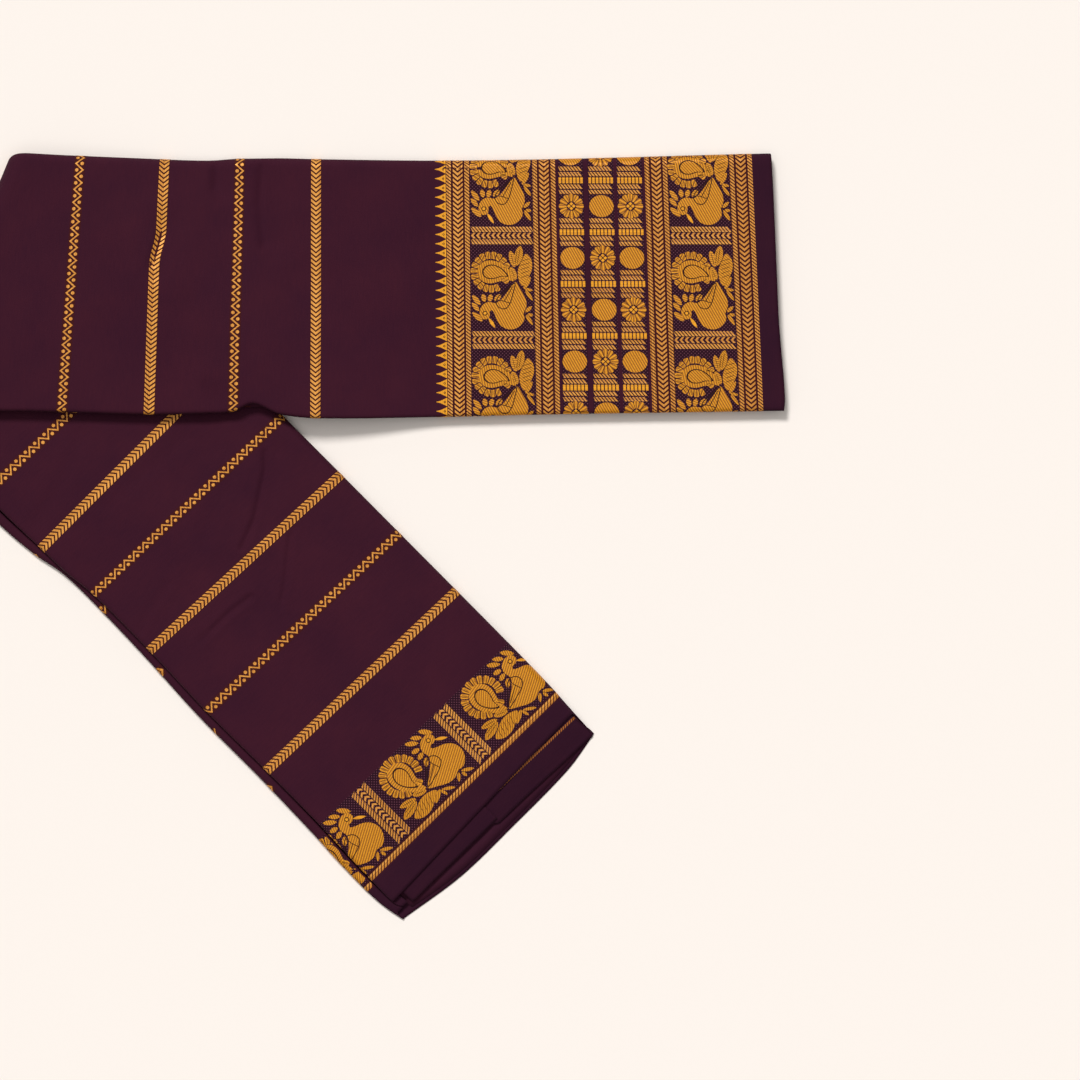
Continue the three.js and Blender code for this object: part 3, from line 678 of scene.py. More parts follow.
class Weaving:
    """Gathers figures of one kind of thread on one leg. A figure is a low closed pad, and lines of thread
    run over it at a slant in degrees, a pitch apart."""

    SINK = -0.08
    TOPS = (0.15, 0.21, 0.27, 0.07)  # of a figure on the cloth, of one on that and so on, and of a ground
    BEVEL = 0.12

    def __init__(self):
        self.points, self.faces, self.threads = [], [], []

    def pad(self, outline, level=0, slant=60.0, pitch=None, facets=None):
        outline = np.array(outline, float)
        count = len(outline)
        ahead, behind = np.roll(outline, -1, axis=0), np.roll(outline, 1, axis=0)
        area = np.sum(outline[:, 0] * ahead[:, 1] - ahead[:, 0] * outline[:, 1])
        way = ahead - behind
        inward = np.stack([-way[:, 1], way[:, 0]], axis=1) * np.sign(area)
        inward /= np.maximum(np.linalg.norm(inward, axis=1, keepdims=True), 1e-6)
        top = outline + inward * self.BEVEL
        first = len(self.points)
        self.points += [(p, w, self.SINK) for p, w in outline] + [(p, w, self.TOPS[level]) for p, w in top]
        low = list(range(first, first + count))
        high = list(range(first + count, first + 2 * count))
        made = [(low[i], low[(i + 1) % count], high[(i + 1) % count], high[i]) for i in range(count)]
        for facet in facets or [range(count)]:
            made.append([high[i] for i in facet])
            made.append([low[i] for i in reversed(facet)])
        self.faces += made
        turn = math.radians(slant)
        shares = outline @ np.array([[math.cos(turn), -math.sin(turn)], [math.sin(turn), math.cos(turn)]])
        self.threads += [(along, across / pitch if pitch else 0.5) for along, across in shares] * 2

    def ground(self, left, right, start, stop):
        """A plain stripe under the figures, in a closed grid that is as fine as the cloth's own"""
        columns = np.linspace(left, right, math.ceil((right - left) / 3.0) + 1)
        rows = np.linspace(start, stop, math.ceil((stop - start) / 3.0) + 1)
        first, wide, size = len(self.points), len(columns), len(columns) * len(rows)
        for height in (self.TOPS[-1], self.SINK):
            self.points += [(p, w, height) for w in rows for p in columns]
            self.threads += [(p, w) for w in rows for p in columns]
        for i in range(len(rows) - 1):
            for j in range(wide - 1):
                a = first + i * wide + j
                self.faces.append([a, a + 1, a + wide + 1, a + wide])
                self.faces.append([size + a + wide, size + a + wide + 1, size + a + 1, size + a])
        rim = [*range(wide)] + [i * wide + wide - 1 for i in range(1, len(rows))]
        rim += [size - 1 - j for j in range(1, wide)] + [i * wide for i in range(len(rows) - 2, 0, -1)]
        for a, b in zip(rim, rim[1:] + rim[:1]):
            self.faces.append([first + b, first + a, first + a + size, first + b + size])

    def stroke(self, path, width, level=0, closed=False, pitch=None):
        """A line of thread of an even width, with its corners mitred"""
        path = np.array(path, float)
        if closed:
            ways = np.roll(path, -1, axis=0) - path
            before = np.roll(ways, 1, axis=0)
        else:
            ways = np.diff(path, axis=0)
            ways, before = np.vstack([ways, ways[-1:]]), np.vstack([ways[:1], ways])
        normal = [np.stack([-v[:, 1], v[:, 0]], axis=1) for v in (ways, before)]
        normal = [n / np.maximum(np.linalg.norm(n, axis=1, keepdims=True), 1e-9) for n in normal]
        across = normal[0] + normal[1]
        across /= np.maximum(np.linalg.norm(across, axis=1, keepdims=True), 1e-9)
        reach = width / 2 / np.maximum(np.sum(across * normal[0], axis=1, keepdims=True), 0.5)
        left, right = path + across * reach, path - across * reach
        first = len(self.points)
        bevel = min(self.BEVEL, width / 4) / (width / 2)
        distance = 0.0
        for i, (a, b) in enumerate(zip(left, right)):
            a_top, b_top = a + (b - a) * bevel / 2, b + (a - b) * bevel / 2
            top = self.TOPS[level]
            self.points += [(*a, self.SINK), (*a_top, top), (*b_top, top), (*b, self.SINK)]
            if i:
                distance += float(np.linalg.norm(path[i] - path[i - 1]))
            self.threads += [(distance, distance / pitch if pitch else 0.5)] * 4
        count = len(path)
        for i in range(count if closed else count - 1):
            a, b = first + 4 * i, first + 4 * ((i + 1) % count)
            self.faces += [(a + k, a + (k + 1) % 4, b + (k + 1) % 4, b + k) for k in range(4)]
        if not closed:
            last = first + 4 * (count - 1)
            self.faces += [(first + 3, first + 2, first + 1, first), (last, last + 1, last + 2, last + 3)]

    def dot(self, centre, radius, sides=8, **kind):
        turns = [2 * math.pi * (i + 0.5) / sides for i in range(sides)]
        p, w = centre
        self.pad([(p + radius * math.cos(t), w + radius * math.sin(t)) for t in turns], **kind)

    def leaf(self, start, end, width, fullness=0.0, **kind):
        """A leaf from its stalk to its tip, rounder at both ends the fuller it is"""
        start, end = np.array(start, float), np.array(end, float)
        way = end - start
        side = np.array([-way[1], way[0]]) / max(np.linalg.norm(way), 1e-6)
        shares = [0.0, 0.08, 0.25, 0.5, 0.75, 0.92, 1.0]
        bulge = [(4 * s * (1 - s)) ** (1 - 0.5 * fullness) for s in shares]
        one = [start + way * s + side * width / 2 * b for s, b in zip(shares, bulge)]
        two = [start + way * s - side * width / 2 * b for s, b in zip(shares[-2:0:-1], bulge[-2:0:-1])]
        self.pad(one + two, **kind)

    def make(self, name, leg, material, place, stations, close=(), lay=None):
        """Lays the figures on a leg as one mesh. They are cut across the strip where the cloth under them
        bends, as it does at a place along it, and at stations along it."""
        flat = bpy.data.meshes.new(name)
        flat.from_pydata(self.points, [], [list(face) for face in self.faces])
        add_uv_map(flat, "thread", self.threads)
        bm = bmesh.new()
        bm.from_mesh(flat)
        bmesh.ops.recalc_face_normals(bm, faces=bm.faces[:])
        bmesh.ops.triangulate(bm, faces=[f for f in bm.faces if len(f.verts) > 4])
        for end, way in zip(reach_of(leg, place), (-1, 1)):
            made = cut(bm, (0, end, 0), (0, way, 0), drop_outer=True)
            rim = [e for e in made["geom_cut"] if isinstance(e, bmesh.types.BMEdge) and e.is_boundary]
            bmesh.ops.holes_fill(bm, edges=rim)
        for w in sorted([*bends(leg, place), *close]):
            cut(bm, (0, w, 0), (0, 1, 0))
        for p in stations:
            cut(bm, (p, 0, 0), (1, 0, 0))
        bm.to_mesh(flat)
        bm.free()
        places = np.empty(len(flat.vertices) * 3)
        flat.vertices.foreach_get("co", places)
        p, w, out = places.reshape(-1, 3).T
        along = p + read_table(leg.lean, 1, p) * w / STRIP_WIDTH + kink(leg, p, w)
        closed = read_table(leg.edges, 1, along)
        laid = lay(p, w, out) if lay else skin(leg, along, w - closed + FOLD_SHIFT, out)
        flat.vertices.foreach_set("co", (laid * MM).ravel())
        flat.flip_normals()
        flat.materials.append(material)
        piece = bpy.data.objects.new(name, flat)
        bpy.context.collection.objects.link(piece)
        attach(piece, "root")
        return piece


PINCH, PINCH_PLACE, PINCH_WIDTH = -4.2, 110.0, 14.0  # along the strip
PINCH_FROM, PINCH_LENGTH = 56.0, 26.0  # across it


def kink(leg, p, w):
    """A chevron stripe of the top leg is pulled aside where the cloth is pinched"""
    if leg is lower_leg:
        return np.zeros_like(p)
    return PINCH * smooth((w - PINCH_FROM) / PINCH_LENGTH) * np.exp(-(((p - PINCH_PLACE) / PINCH_WIDTH) ** 2))


def edges_at(leg, place):
    """Closed fold, upper roll and lower roll at a place along a leg"""
    return [float(read_table(leg.edges, column, place)) for column in (1, 2, 3)]


CLOSE_CUT, FACE_CUT, BELOW_CUT = 1.05, 9.0, 16.0  # from one cut to the next: round a bend, on top, underneath


def bends(leg, place):
    """Places across the strip where figures are cut so that they bend with the cloth"""
    closed, upper, lower = edges_at(leg, place)
    middle = closed - FOLD_SHIFT
    start_under = -(QUARTER + lower - ROLL - closed - HALF) + middle
    fold = np.arange(middle - QUARTER, middle + QUARTER + 0.1, CLOSE_CUT)
    over = np.arange(upper - 6.0, upper + 10.0, CLOSE_CUT)
    under = np.arange(start_under - 14.0, start_under + 5.0, CLOSE_CUT)
    face = np.arange(14.0, upper - 8.0, FACE_CUT)
    below = np.arange(start_under + 12.0, closed - 18.0, BELOW_CUT)
    return [*fold, *over, *under, *face, *below]


def reach_of(leg, place):
    """The lowest and highest place across the cloth that lies in the outer layer"""
    closed, upper, lower = edges_at(leg, place)
    spare = QUARTER - HALF - ROLL + math.pi * ROLL + (TUCK - ROLL)
    return -(lower + spare) + 2 * closed - FOLD_SHIFT + 1.5, upper + spare - FOLD_SHIFT - 1.5


# Thread lines on a figure, from its own coordinates
thread_lines, lines_in, lines_out = new_group(
    "thread_lines",
    [("Vector", "NodeSocketVector"), ("Groove width", "NodeSocketFloat")],
    [("Height", "NodeSocketFloat"), ("Groove", "NodeSocketFloat"), ("Tone", "NodeSocketFloat")],
)
lines_y = split_up(thread_lines, lines_in.outputs["Vector"])[1]
phase = maths(thread_lines, "FRACT", lines_y)
from_groove = maths(thread_lines, "ABSOLUTE", maths(thread_lines, "SUBTRACT", phase, 0.5))
edge = maths(thread_lines, "SUBTRACT", 0.5, from_groove)
edge = maths(thread_lines, "DIVIDE", edge, lines_in.outputs["Groove width"])
ridge = maths(thread_lines, "MINIMUM", edge, 1.0)
thread_lines.links.new(ridge, lines_out.inputs["Height"])
# the groove output is the mask where the painted shade between threads goes
thread_lines.links.new(maths(thread_lines, "SUBTRACT", 1.0, ridge), lines_out.inputs["Groove"])
thread_lines.links.new(noise(thread_lines, lines_in.outputs["Vector"], 1.4, 2.0), lines_out.inputs["Tone"])


def zari(name, low, high, groove_painted_shade, metallic, groove_width=0.3, roughness=0.42):
    """Gold-wrapped thread: its tone varies from low to high, and the grooves between threads get a darker
    colour, which is painted shade on top of the bump
    """
    material, tree, shader, place = thread_material(name, "thread", roughness, 0.2)
    group = tree.nodes.new("ShaderNodeGroup")
    group.node_tree = thread_lines
    group.inputs["Groove width"].default_value = groove_width
    tree.links.new(place, group.inputs["Vector"])
    tone = two_tones(tree, group.outputs["Tone"], low, high, 0.35)
    # painted shade: the grooves between threads take the darker colour
    colour = mixed(tree, group.outputs["Groove"], tone, groove_painted_shade)
    colour_and_bump(tree, shader, colour, group.outputs["Height"], 0.6, 0.00015)
    shader.inputs["Metallic"].default_value = metallic
    return material


# the third colour of each thread is the painted shade in its grooves
gold_thread = zari(
    "gold_thread", (0.62, 0.235, 0.008), (0.84, 0.36, 0.014), (0.21, 0.055, 0.004), 0.12, groove_width=0.42
)
copper_thread = zari("copper_thread", (0.47, 0.165, 0.018), (0.76, 0.34, 0.062), (0.21, 0.048, 0.010), 0.15)
dull_thread = zari("dull_thread", (0.30, 0.085, 0.012), (0.46, 0.15, 0.025), (0.16, 0.03, 0.01), 0.15)
# plain cotton threads, with no metal
dark_thread = zari(
    "dark_thread", (0.020, 0.0045, 0.0045), (0.030, 0.0055, 0.005), (0.016, 0.004, 0.004), 0, roughness=0.85
)
red_ground = zari(
    "red_ground", (0.046, 0.0045, 0.0062), (0.058, 0.0055, 0.0070), (0.040, 0.004, 0.006), 0, roughness=0.9
)


def chevrons(weaving, p, start, stop, width, pitch, stroke, point=1):
    """A row of chevrons across the strip that point to where w grows, or the other way"""
    half, drop = width / 2, width / 2 * 0.85
    w = start
    while w < stop:
        tip = w + (drop if point > 0 else 0)
        tail = w + (0 if point > 0 else drop)
        outline = [(p - half, tail), (p, tip), (p + half, tail)]
        outline += [(p + half, tail + stroke), (p, tip + stroke), (p - half, tail + stroke)]
        weaving.pad(outline, facets=[(0, 1, 4, 5), (1, 2, 3, 4)], slant=0)
        w += pitch


def rope_across(weaving, p, start, stop, width, pitch=2.4, slant=0.8, share=0.7):
    """A twisted cord across the strip, woven as slanting bars"""
    w = start
    while w < stop:
        lean = width * slant / 2
        thick = pitch * share
        outline = [(p - width / 2, w - lean), (p + width / 2, w + lean)]
        outline += [(p + width / 2, w + lean + thick), (p - width / 2, w - lean + thick)]
        weaving.pad(outline, slant=0)
        w += pitch


def rope_along(weaving, start, stop, w, height, pitch=2.4, slant=0.8, share=0.7):
    """The same cord, woven along the strip"""
    p = start
    while p + pitch * share < stop + 0.1:
        lean = height * slant / 2
        thick = pitch * share
        outline = [(p - lean, w - height / 2), (p - lean + thick, w - height / 2)]
        outline += [(p + lean + thick, w + height / 2), (p + lean, w + height / 2)]
        outline = [(min(max(q, start), stop), v) for q, v in outline]
        weaving.pad(outline, slant=90)
        p += pitch


def chevrons_along(weaving, start, stop, w, height, pitch=3.6, stroke=1.9):
    """A row of chevrons along the strip that point to its body"""
    p = start
    half, drop = height / 2, height / 2 * 0.8
    while p + drop + stroke < stop:
        outline = [(p + drop, w - half), (p + drop + stroke, w - half), (p + stroke, w)]
        outline += [(p + drop + stroke, w + half), (p + drop, w + half), (p, w)]
        weaving.pad(outline, facets=[(0, 1, 2, 5), (5, 2, 3, 4)], slant=90)
        p += pitch


ZIGZAG_PITCH, ZIGZAG_SWING, ZIGZAG_LINE = 9.3, 2.6, 1.25
ZIGZAG_DOT, ZIGZAG_DOT_AWAY = 1.45, 1.75  # radius, and distance from the middle of the stripe


def zigzag(weaving, p, start, stop):
    """A zigzag line across the strip with a dot in each bend"""
    step = ZIGZAG_PITCH / 2
    path = [
        (p + (ZIGZAG_SWING if i % 2 else -ZIGZAG_SWING), start + i * step)
        for i in range(int((stop - start) / step))
    ]
    weaving.stroke(path, ZIGZAG_LINE)
    for q, w in path[1:-1]:
        inner = p + ZIGZAG_DOT_AWAY if q < p else p - ZIGZAG_DOT_AWAY
        weaving.dot((inner, w), ZIGZAG_DOT, sides=6, slant=0)


# Stripes of the body: a zigzag with dots and a row of chevrons, by turns, from one selvedge to the other.
# The cotton under them is woven with a dark red thread, which shows between the figures.
BODY_PLACE = 300.0  # a place along a leg that stands for all its stripes
STRIPE, STRIPE_GROUND = 7.0, 7.9
STRIPE_PITCH, STRIPE_THREAD = 3.33, 2.2
STRIPE_CUTS = (-1.8, 0.0, 1.8)  # cuts along the strip, from the middle of a stripe
CLOSE_CUTS = np.arange(14.7, 186, 2.0)  # cuts across it, where the fine creases run
HIDDEN_STRIPE, HIDDEN_REACH = 45.0, 66.0  # under the top leg, and how far from the closed fold it runs


def body_stripes(prefix, leg, zigzags, chevron_rows, point, zigzag_start=0.0, hidden=()):
    """The stripes of a leg and the ground under them, as two pieces. point is the way the chevrons point,
    and zigzag_start is how far from its hidden end each zigzag starts."""
    start, stop = reach_of(leg, BODY_PLACE)
    stripes, ground = Weaving(), Weaving()
    for p in hidden:
        zigzag(stripes, p, -HIDDEN_REACH, HIDDEN_REACH)
    for p in zigzags:
        zigzag(stripes, p, start + zigzag_start, stop)
    for p in chevron_rows:
        chevrons(stripes, p, start, stop - 5, STRIPE, STRIPE_PITCH, STRIPE_THREAD, point)
    for p in zigzags + chevron_rows:
        ground.ground(p - STRIPE_GROUND / 2, p + STRIPE_GROUND / 2, start, stop)
    stations = [p + past for p in zigzags + chevron_rows for past in STRIPE_CUTS]
    return [
        stripes.make(f"{prefix}_stripes", leg, copper_thread, BODY_PLACE, stations, CLOSE_CUTS),
        ground.make(f"{prefix}_stripe_ground", leg, red_ground, BODY_PLACE, [], CLOSE_CUTS),
    ]


# A zigzag of the top leg starts a pitch later, so that its hidden end stays out of sight at the pinched edge
top_pieces = body_stripes("top", top_leg, (50.4, 164.2), (-18.0, 110.2, 218.9), 1, ZIGZAG_PITCH)
lower_pieces = body_stripes(
    "lower", lower_leg, (165.0, 272.4, 391.0), (104.0, 216.9, 331.4, 449.6), -1, hidden=[HIDDEN_STRIPE]
)


# The large border at the free end of the top leg. From the body to the selvedge it has a row of temple
# points, a band, a row of birds, a band, three columns of beads and flowers, a band, birds and a band.
TEMPLE_TIP, TEMPLE_BASE, TEMPLE_PITCH = 304.3, 312.1, 6.7
BANDS = (312.5, 374.4, 455.0, 516.0)  # where each band of rope, chevrons and rope begins
BAND_WIDTH, ROPE = 16.4, 3.3
BAND_CHEVRON, BAND_PITCH, BAND_THREAD = 7.0, 3.4, 2.05
BORDER_PLACE = 430.0  # a place along the leg that stands for the whole border
BIRD_COLUMNS = ((329.4, 374.4), (471.6, 516.0))
BEAD_COLUMNS = ((392.8, 410.8), (414.2, 432.5), (434.9, 453.2))
SEPARATOR, SEPARATOR_PITCH = 60.2, 75.2
BEAD_ROW, BEAD_PITCH = 39.0, 37.3
BEAD_HALF = 8.0  # half a bead, across the strip
BEAD_ROPE, BEAD_ROPES = 3.1, (10.3, 14.3, 23.2, 27.1)  # a rope, and how far each lies past a bead
SQUARES, SQUARE_HALF, SQUARE_FROM, SQUARE_TO = 7, 1.02, 16.6, 20.9
BIRD_CELL = (44.6, 62.6)  # along and across
# outline of a temple point: share of its length from the base, and distance from its middle
TEMPLE = [
    (0, -3.149), (0, 3.149), (0.3, 2.077), (0.62, 0.9045),
    (1, 0.25), (1, -0.25), (0.62, -0.9045), (0.3, -2.077),
]
TEMPLE_EYE = 1.9  # from the base to the ring in a temple point


def temple_points(weaving, marks, start, stop):
    """A row of temple points that point to the body, with a ring in each"""
    w = start
    while w < stop:
        length = TEMPLE_BASE - TEMPLE_TIP
        weaving.pad([(TEMPLE_BASE - far * length, w + aside) for far, aside in TEMPLE], slant=0)
        marks.dot((TEMPLE_BASE - TEMPLE_EYE, w), 0.95, sides=6, level=1)
        weaving.dot((TEMPLE_BASE - TEMPLE_EYE, w), 0.5, sides=6, level=2)
        w += TEMPLE_PITCH


def band(weaving, p, start, stop):
    """Rope, chevrons and rope across the strip"""
    rope_across(weaving, p + ROPE / 2, start, stop, ROPE)
    chevrons(weaving, p + BAND_WIDTH / 2, start, stop - 4, BAND_CHEVRON, BAND_PITCH, BAND_THREAD)
    rope_across(weaving, p + BAND_WIDTH - ROPE / 2, start, stop, ROPE)


def steps_within(first, pitch, start, stop):
    """Every place of a repeat that lies between two others"""
    counts = range(math.ceil((start - first) / pitch), math.ceil((stop - first) / pitch))
    return [first + count * pitch for count in counts]


# of a petal, from the flower's middle and half its width there, as shares of the flower's radius
PETALS = 12
PETAL = [(0.38, 0.085), (0.62, 0.15), (0.84, 0.215), (0.96, 0.18), (1.02, 0.08)]
SEED, SEED_AWAY = [(0.16, 0), (0, 0.16), (-0.16, 0), (0, -0.16)], 0.195


def flower(weaving, p, w, radius):
    """A flower of petals round four seeds"""
    for i in range(PETALS):
        t = 2 * math.pi / PETALS * i
        way, side = np.array([math.cos(t), math.sin(t)]), np.array([-math.sin(t), math.cos(t)])
        one = [(p, w) + radius * (far * way + half * side) for far, half in PETAL]
        two = [(p, w) + radius * (far * way - half * side) for far, half in reversed(PETAL)]
        weaving.pad(one + two, slant=math.degrees(t), pitch=2.4)
    for i in range(4):
        t = math.pi / 2 * i
        seed = (p + SEED_AWAY * radius * math.cos(t), w + SEED_AWAY * radius * math.sin(t))
        weaving.pad([(seed[0] + x * radius, seed[1] + y * radius) for x, y in SEED])


def bead(weaving, p, w, half_along, half_across):
    """A round bead, filled with slanting threads"""
    turns = [2 * math.pi * i / 24 for i in range(24)]
    outline = [(p + half_along * math.cos(t), w + half_across * math.sin(t)) for t in turns]
    weaving.pad(outline, slant=62, pitch=1.7)


def bead_column(weaving, ropes, start, stop, column, first, last):
    """Beads and flowers by turns down a column, with ropes and a row of squares between them"""
    middle, half = (start + stop) / 2, (stop - start) / 2
    for w in steps_within(BEAD_ROW, BEAD_PITCH, first + 9, last - 3):
        turn = round((w - BEAD_ROW) / BEAD_PITCH) + column
        if turn % 2:
            bead(weaving, middle, w, half - 0.3, BEAD_HALF)
        else:
            flower(weaving, middle, w, half - 0.2)
        if w + 12 < last:
            rope_along(ropes, start, stop, w + BEAD_ROPES[0], BEAD_ROPE)
        if w + 26 < last:
            for past in BEAD_ROPES[1:]:
                rope_along(ropes, start, stop, w + past, BEAD_ROPE)
            for i in range(SQUARES):
                p = start + (stop - start) * (i + 0.5) / SQUARES
                near, far = (p - SQUARE_HALF, p + SQUARE_HALF), (w + SQUARE_FROM, w + SQUARE_TO)
                square = [(near[0], far[0]), (near[1], far[0]), (near[1], far[1]), (near[0], far[1])]
                weaving.pad(square, slant=90)


SEPARATOR_HEIGHT = 12.6


def separator(weaving, start, stop, w, height):
    """Ropes on either side of a row of chevrons, along the strip, between two birds"""
    rope = 0.29 * height
    rope_along(weaving, start, stop, w - height / 2 + rope / 2, rope)
    chevrons_along(weaving, start + 0.4, stop, w, 0.34 * height)
    rope_along(weaving, start, stop, w + height / 2 - rope / 2, rope)


# A bird that looks back over its tail, in the manner of temple saris. It is drawn in a cell 44.6 mm along
# the strip and 62.6 mm across it, with its feet at the selvedge side.
BODY = [
    (31.6, 27.0), (35.0, 32.0), (38.6, 39.0), (39.2, 44.6), (37.2, 49.6), (37.6, 54.2), (34.2, 59.0),
    (28.6, 61.4), (22.6, 60.0), (18.6, 55.6), (16.6, 50.4), (14.9, 47.6), (13.2, 48.6), (13.2, 51.6),
    (11.0, 54.0), (7.8, 53.6), (6.0, 50.6), (6.4, 46.4), (8.8, 43.0), (12.8, 41.4), (17.4, 42.2),
    (22.0, 39.0), (27.0, 32.6),
]
TAIL = [
    (31.0, 26.4), (28.2, 19.4), (22.6, 14.2), (15.8, 11.6), (9.4, 12.4), (5.4, 16.6), (5.0, 22.2),
    (8.4, 26.8), (14.0, 28.2), (20.4, 26.8), (26.0, 25.8),
]
TAIL_RIM = [
    (27.0, 23.2), (22.8, 17.8), (16.8, 14.6), (11.4, 15.2), (8.2, 18.4), (8.4, 22.2), (11.6, 24.8),
    (16.4, 25.0), (21.6, 23.4),
]
HEART_CENTRE, HEART_SHARE = np.array([16.4, 20.2]), 0.87  # the tail's heart fills its rim but for a line
LONG_FEATHER = [
    (39.4, 6.6), (43.2, 11.0), (43.6, 17.6), (41.0, 24.0), (36.8, 30.2), (34.0, 26.0), (33.4, 19.0),
    (36.0, 12.2),
]
# lines across the long feather, along the two leaves beside it and across the heart of the tail
FEATHER_LINES = [[(35.2 + 0.1 * k, 12.4 + 2.9 * k), (42.0 - 0.2 * k, 10.4 + 2.9 * k)] for k in range(5)]
FEATHER_LINES += [[(33.2, 13.4), (35.2, 3.6)], [(31.6, 13.8), (33.0, 5.0)], [(30.4, 14.2), (28.8, 7.0)]]
FEATHER_LINES += [[(31.0, 23.4), (29.0, 18.4)]]
# scallops round the tail: their number, the one that the neck hides, the first one and the sweep in degrees
SCALLOPS, HIDDEN_SCALLOP, SCALLOP_FIRST, SCALLOP_SWEEP = 17, 15, 22, 308
SCALLOP_CENTRE, SCALLOP_REACH = np.array([14.2, 20.0]), np.array([11.4, 11.8])
SCALLOP = [(-2.3, 1.35), (0.0, 1.7), (1.8, 2.0), (2.7, 1.6), (3.1, 0.6)]  # from its middle, half width
EYE = (9.8, 49.6)
WING = [
    (31.4, 28.0), (29.6, 36.0), (27.8, 42.0), (24.6, 46.2), (20.2, 45.8), (17.8, 42.2), (19.2, 38.0),
    (23.4, 34.2), (27.6, 30.6),
]
WING_LINES = [[(18.2, 40.2), (22.4, 40.6), (27.6, 42.4)], [(23.6, 40.8), (27.0, 35.0), (29.6, 30.4)]]
# leaves from stalk to tip, and their width
BEAK = ((12.0, 52.6), (17.0, 60.4), 2.6)
CREST = [
    ((6.6, 43.8), (0.9, 36.4), 3.8), ((5.6, 48.0), (0.6, 42.0), 3.6), ((8.0, 55.4), (0.8, 48.8), 4.0),
    ((9.6, 41.6), (8.4, 35.6), 3.8), ((12.8, 41.4), (14.4, 35.8), 3.8), ((16.6, 40.8), (21.2, 36.0), 3.8),
]
FEET = [
    ((37.4, 32.4), (42.4, 23.4), 3.4), ((38.2, 32.0), (43.8, 33.4), 2.4), ((38.4, 32.8), (43.8, 40.6), 2.6),
    ((38.2, 49.0), (43.0, 44.6), 2.8), ((39.6, 50.4), (43.8, 51.2), 2.6), ((38.6, 50.6), (43.4, 58.2), 2.8),
]
# the same, with fullness, slant of the threads and their pitch
TAIL_LEAVES = [
    ((32.6, 15.6), (35.6, 1.0), 6.2, 0.7, 40, 1.3),
    ((31.2, 16.6), (28.2, 4.6), 4.8, 0.8, 10, 1.5),
    ((32.0, 25.6), (28.2, 16.2), 4.8, 0.8, 20, 1.3),
]


def rounded(points, steps=3):
    """A closed smooth line through a few points"""
    a, b, c, d = (np.roll(np.array(points, float), shift, axis=0) for shift in (1, 0, -1, -2))
    bend, twist = 2 * a - 5 * b + 4 * c - d, 3 * b - a - 3 * c + d
    curve = [b + ((c - a) * s + bend * s**2 + twist * s**3) / 2 for s in np.arange(steps) / steps]
    return np.stack(curve, axis=1).reshape(-1, 2)


def bird(gold, marks, at):
    """One bird. at puts a point of its cell on the cloth."""

    def placed(points):
        return [at(*point) for point in points]

    gold.pad(placed(rounded(BODY)), slant=62, pitch=1.7)
    gold.leaf(at(*BEAK[0]), at(*BEAK[1]), BEAK[2])
    marks.dot(at(*EYE), 1.9, level=1)
    gold.dot(at(*EYE), 1.25, level=2)
    for stalk, tip, width in CREST:
        gold.leaf(at(*stalk), at(*tip), width, fullness=0.6, slant=20, pitch=1.6)
    gold.pad(placed(rounded(TAIL)), slant=80, pitch=1.7)
    marks.pad(placed(rounded(TAIL_RIM)), level=1)
    heart = HEART_CENTRE + (rounded(TAIL_RIM) - HEART_CENTRE) * HEART_SHARE
    gold.pad(placed(heart), level=2, slant=48, pitch=1.6)
    for i in range(SCALLOPS):
        if i == HIDDEN_SCALLOP:
            continue
        t = math.radians(SCALLOP_FIRST + i * SCALLOP_SWEEP / (SCALLOPS - 1))
        way, aside = np.array([math.cos(t), -math.sin(t)]), np.array([math.sin(t), math.cos(t)])
        centre = SCALLOP_CENTRE + way * SCALLOP_REACH
        one = [centre + far * way + half * aside for far, half in SCALLOP]
        two = [centre + far * way - half * aside for far, half in reversed(SCALLOP)]
        gold.pad(placed(one + two), slant=math.degrees(t), pitch=2.2)
        for half in (-0.62, 0.62):
            line = [centre - 1.2 * way + 0.8 * half * aside, centre + 1.9 * way + half * aside]
            marks.stroke(placed(line), 0.42, level=1)
    for stalk, tip, width, fullness, slant, pitch in TAIL_LEAVES:
        gold.leaf(at(*stalk), at(*tip), width, fullness=fullness, slant=slant, pitch=pitch)
    gold.pad(placed(rounded(LONG_FEATHER)), slant=40, pitch=1.6)
    for line in FEATHER_LINES:
        marks.stroke(placed(line), 0.55, level=1)
    marks.stroke(placed(rounded(WING)), 0.85, level=1, closed=True)
    for line in WING_LINES:
        marks.stroke(placed(line), 0.75, level=1)
    for stalk, tip, width in FEET:
        gold.leaf(at(*stalk), at(*tip), width, fullness=0.6, slant=50, pitch=1.6)


border_reach = reach_of(top_leg, BORDER_PLACE)
border_stations = np.arange(312.4, 533, 9.0)
top_gold, top_ropes, top_marks = Weaving(), Weaving(), Weaving()
top_ground, pin_ground = Weaving(), Weaving()
temple_points(top_gold, top_marks, *border_reach)
for p in BANDS:
    top_ground.ground(p, p + BAND_WIDTH, *border_reach)
    band(top_ropes, p, *border_reach)
for column, (start, stop) in enumerate(BEAD_COLUMNS):
    pin_ground.ground(start, stop, *border_reach)
    bead_column(top_gold, top_ropes, start, stop, column, *border_reach)
for start, stop in BIRD_COLUMNS:
    pin_ground.ground(start, stop, *border_reach)
    for w in steps_within(SEPARATOR, SEPARATOR_PITCH, border_reach[0] + 8, border_reach[1] - 8):
        separator(top_ropes, start, stop, w, SEPARATOR_HEIGHT)
    for w in steps_within(SEPARATOR, SEPARATOR_PITCH, border_reach[0] - 60, border_reach[1] - 12):
        first = w + (SEPARATOR_PITCH - BIRD_CELL[1]) / 2
        bird(top_gold, top_marks, lambda a, b, p=start, w=first: (p + a, w + b))
top_pieces += [
    top_gold.make("top_border_gold", top_leg, gold_thread, BORDER_PLACE, border_stations),
    top_ropes.make("top_border_ropes", top_leg, copper_thread, BORDER_PLACE, border_stations),
    top_marks.make("top_border_marks", top_leg, dark_thread, BORDER_PLACE, border_stations),
    top_ground.make("top_border_ground", top_leg, red_ground, BORDER_PLACE, []),
]


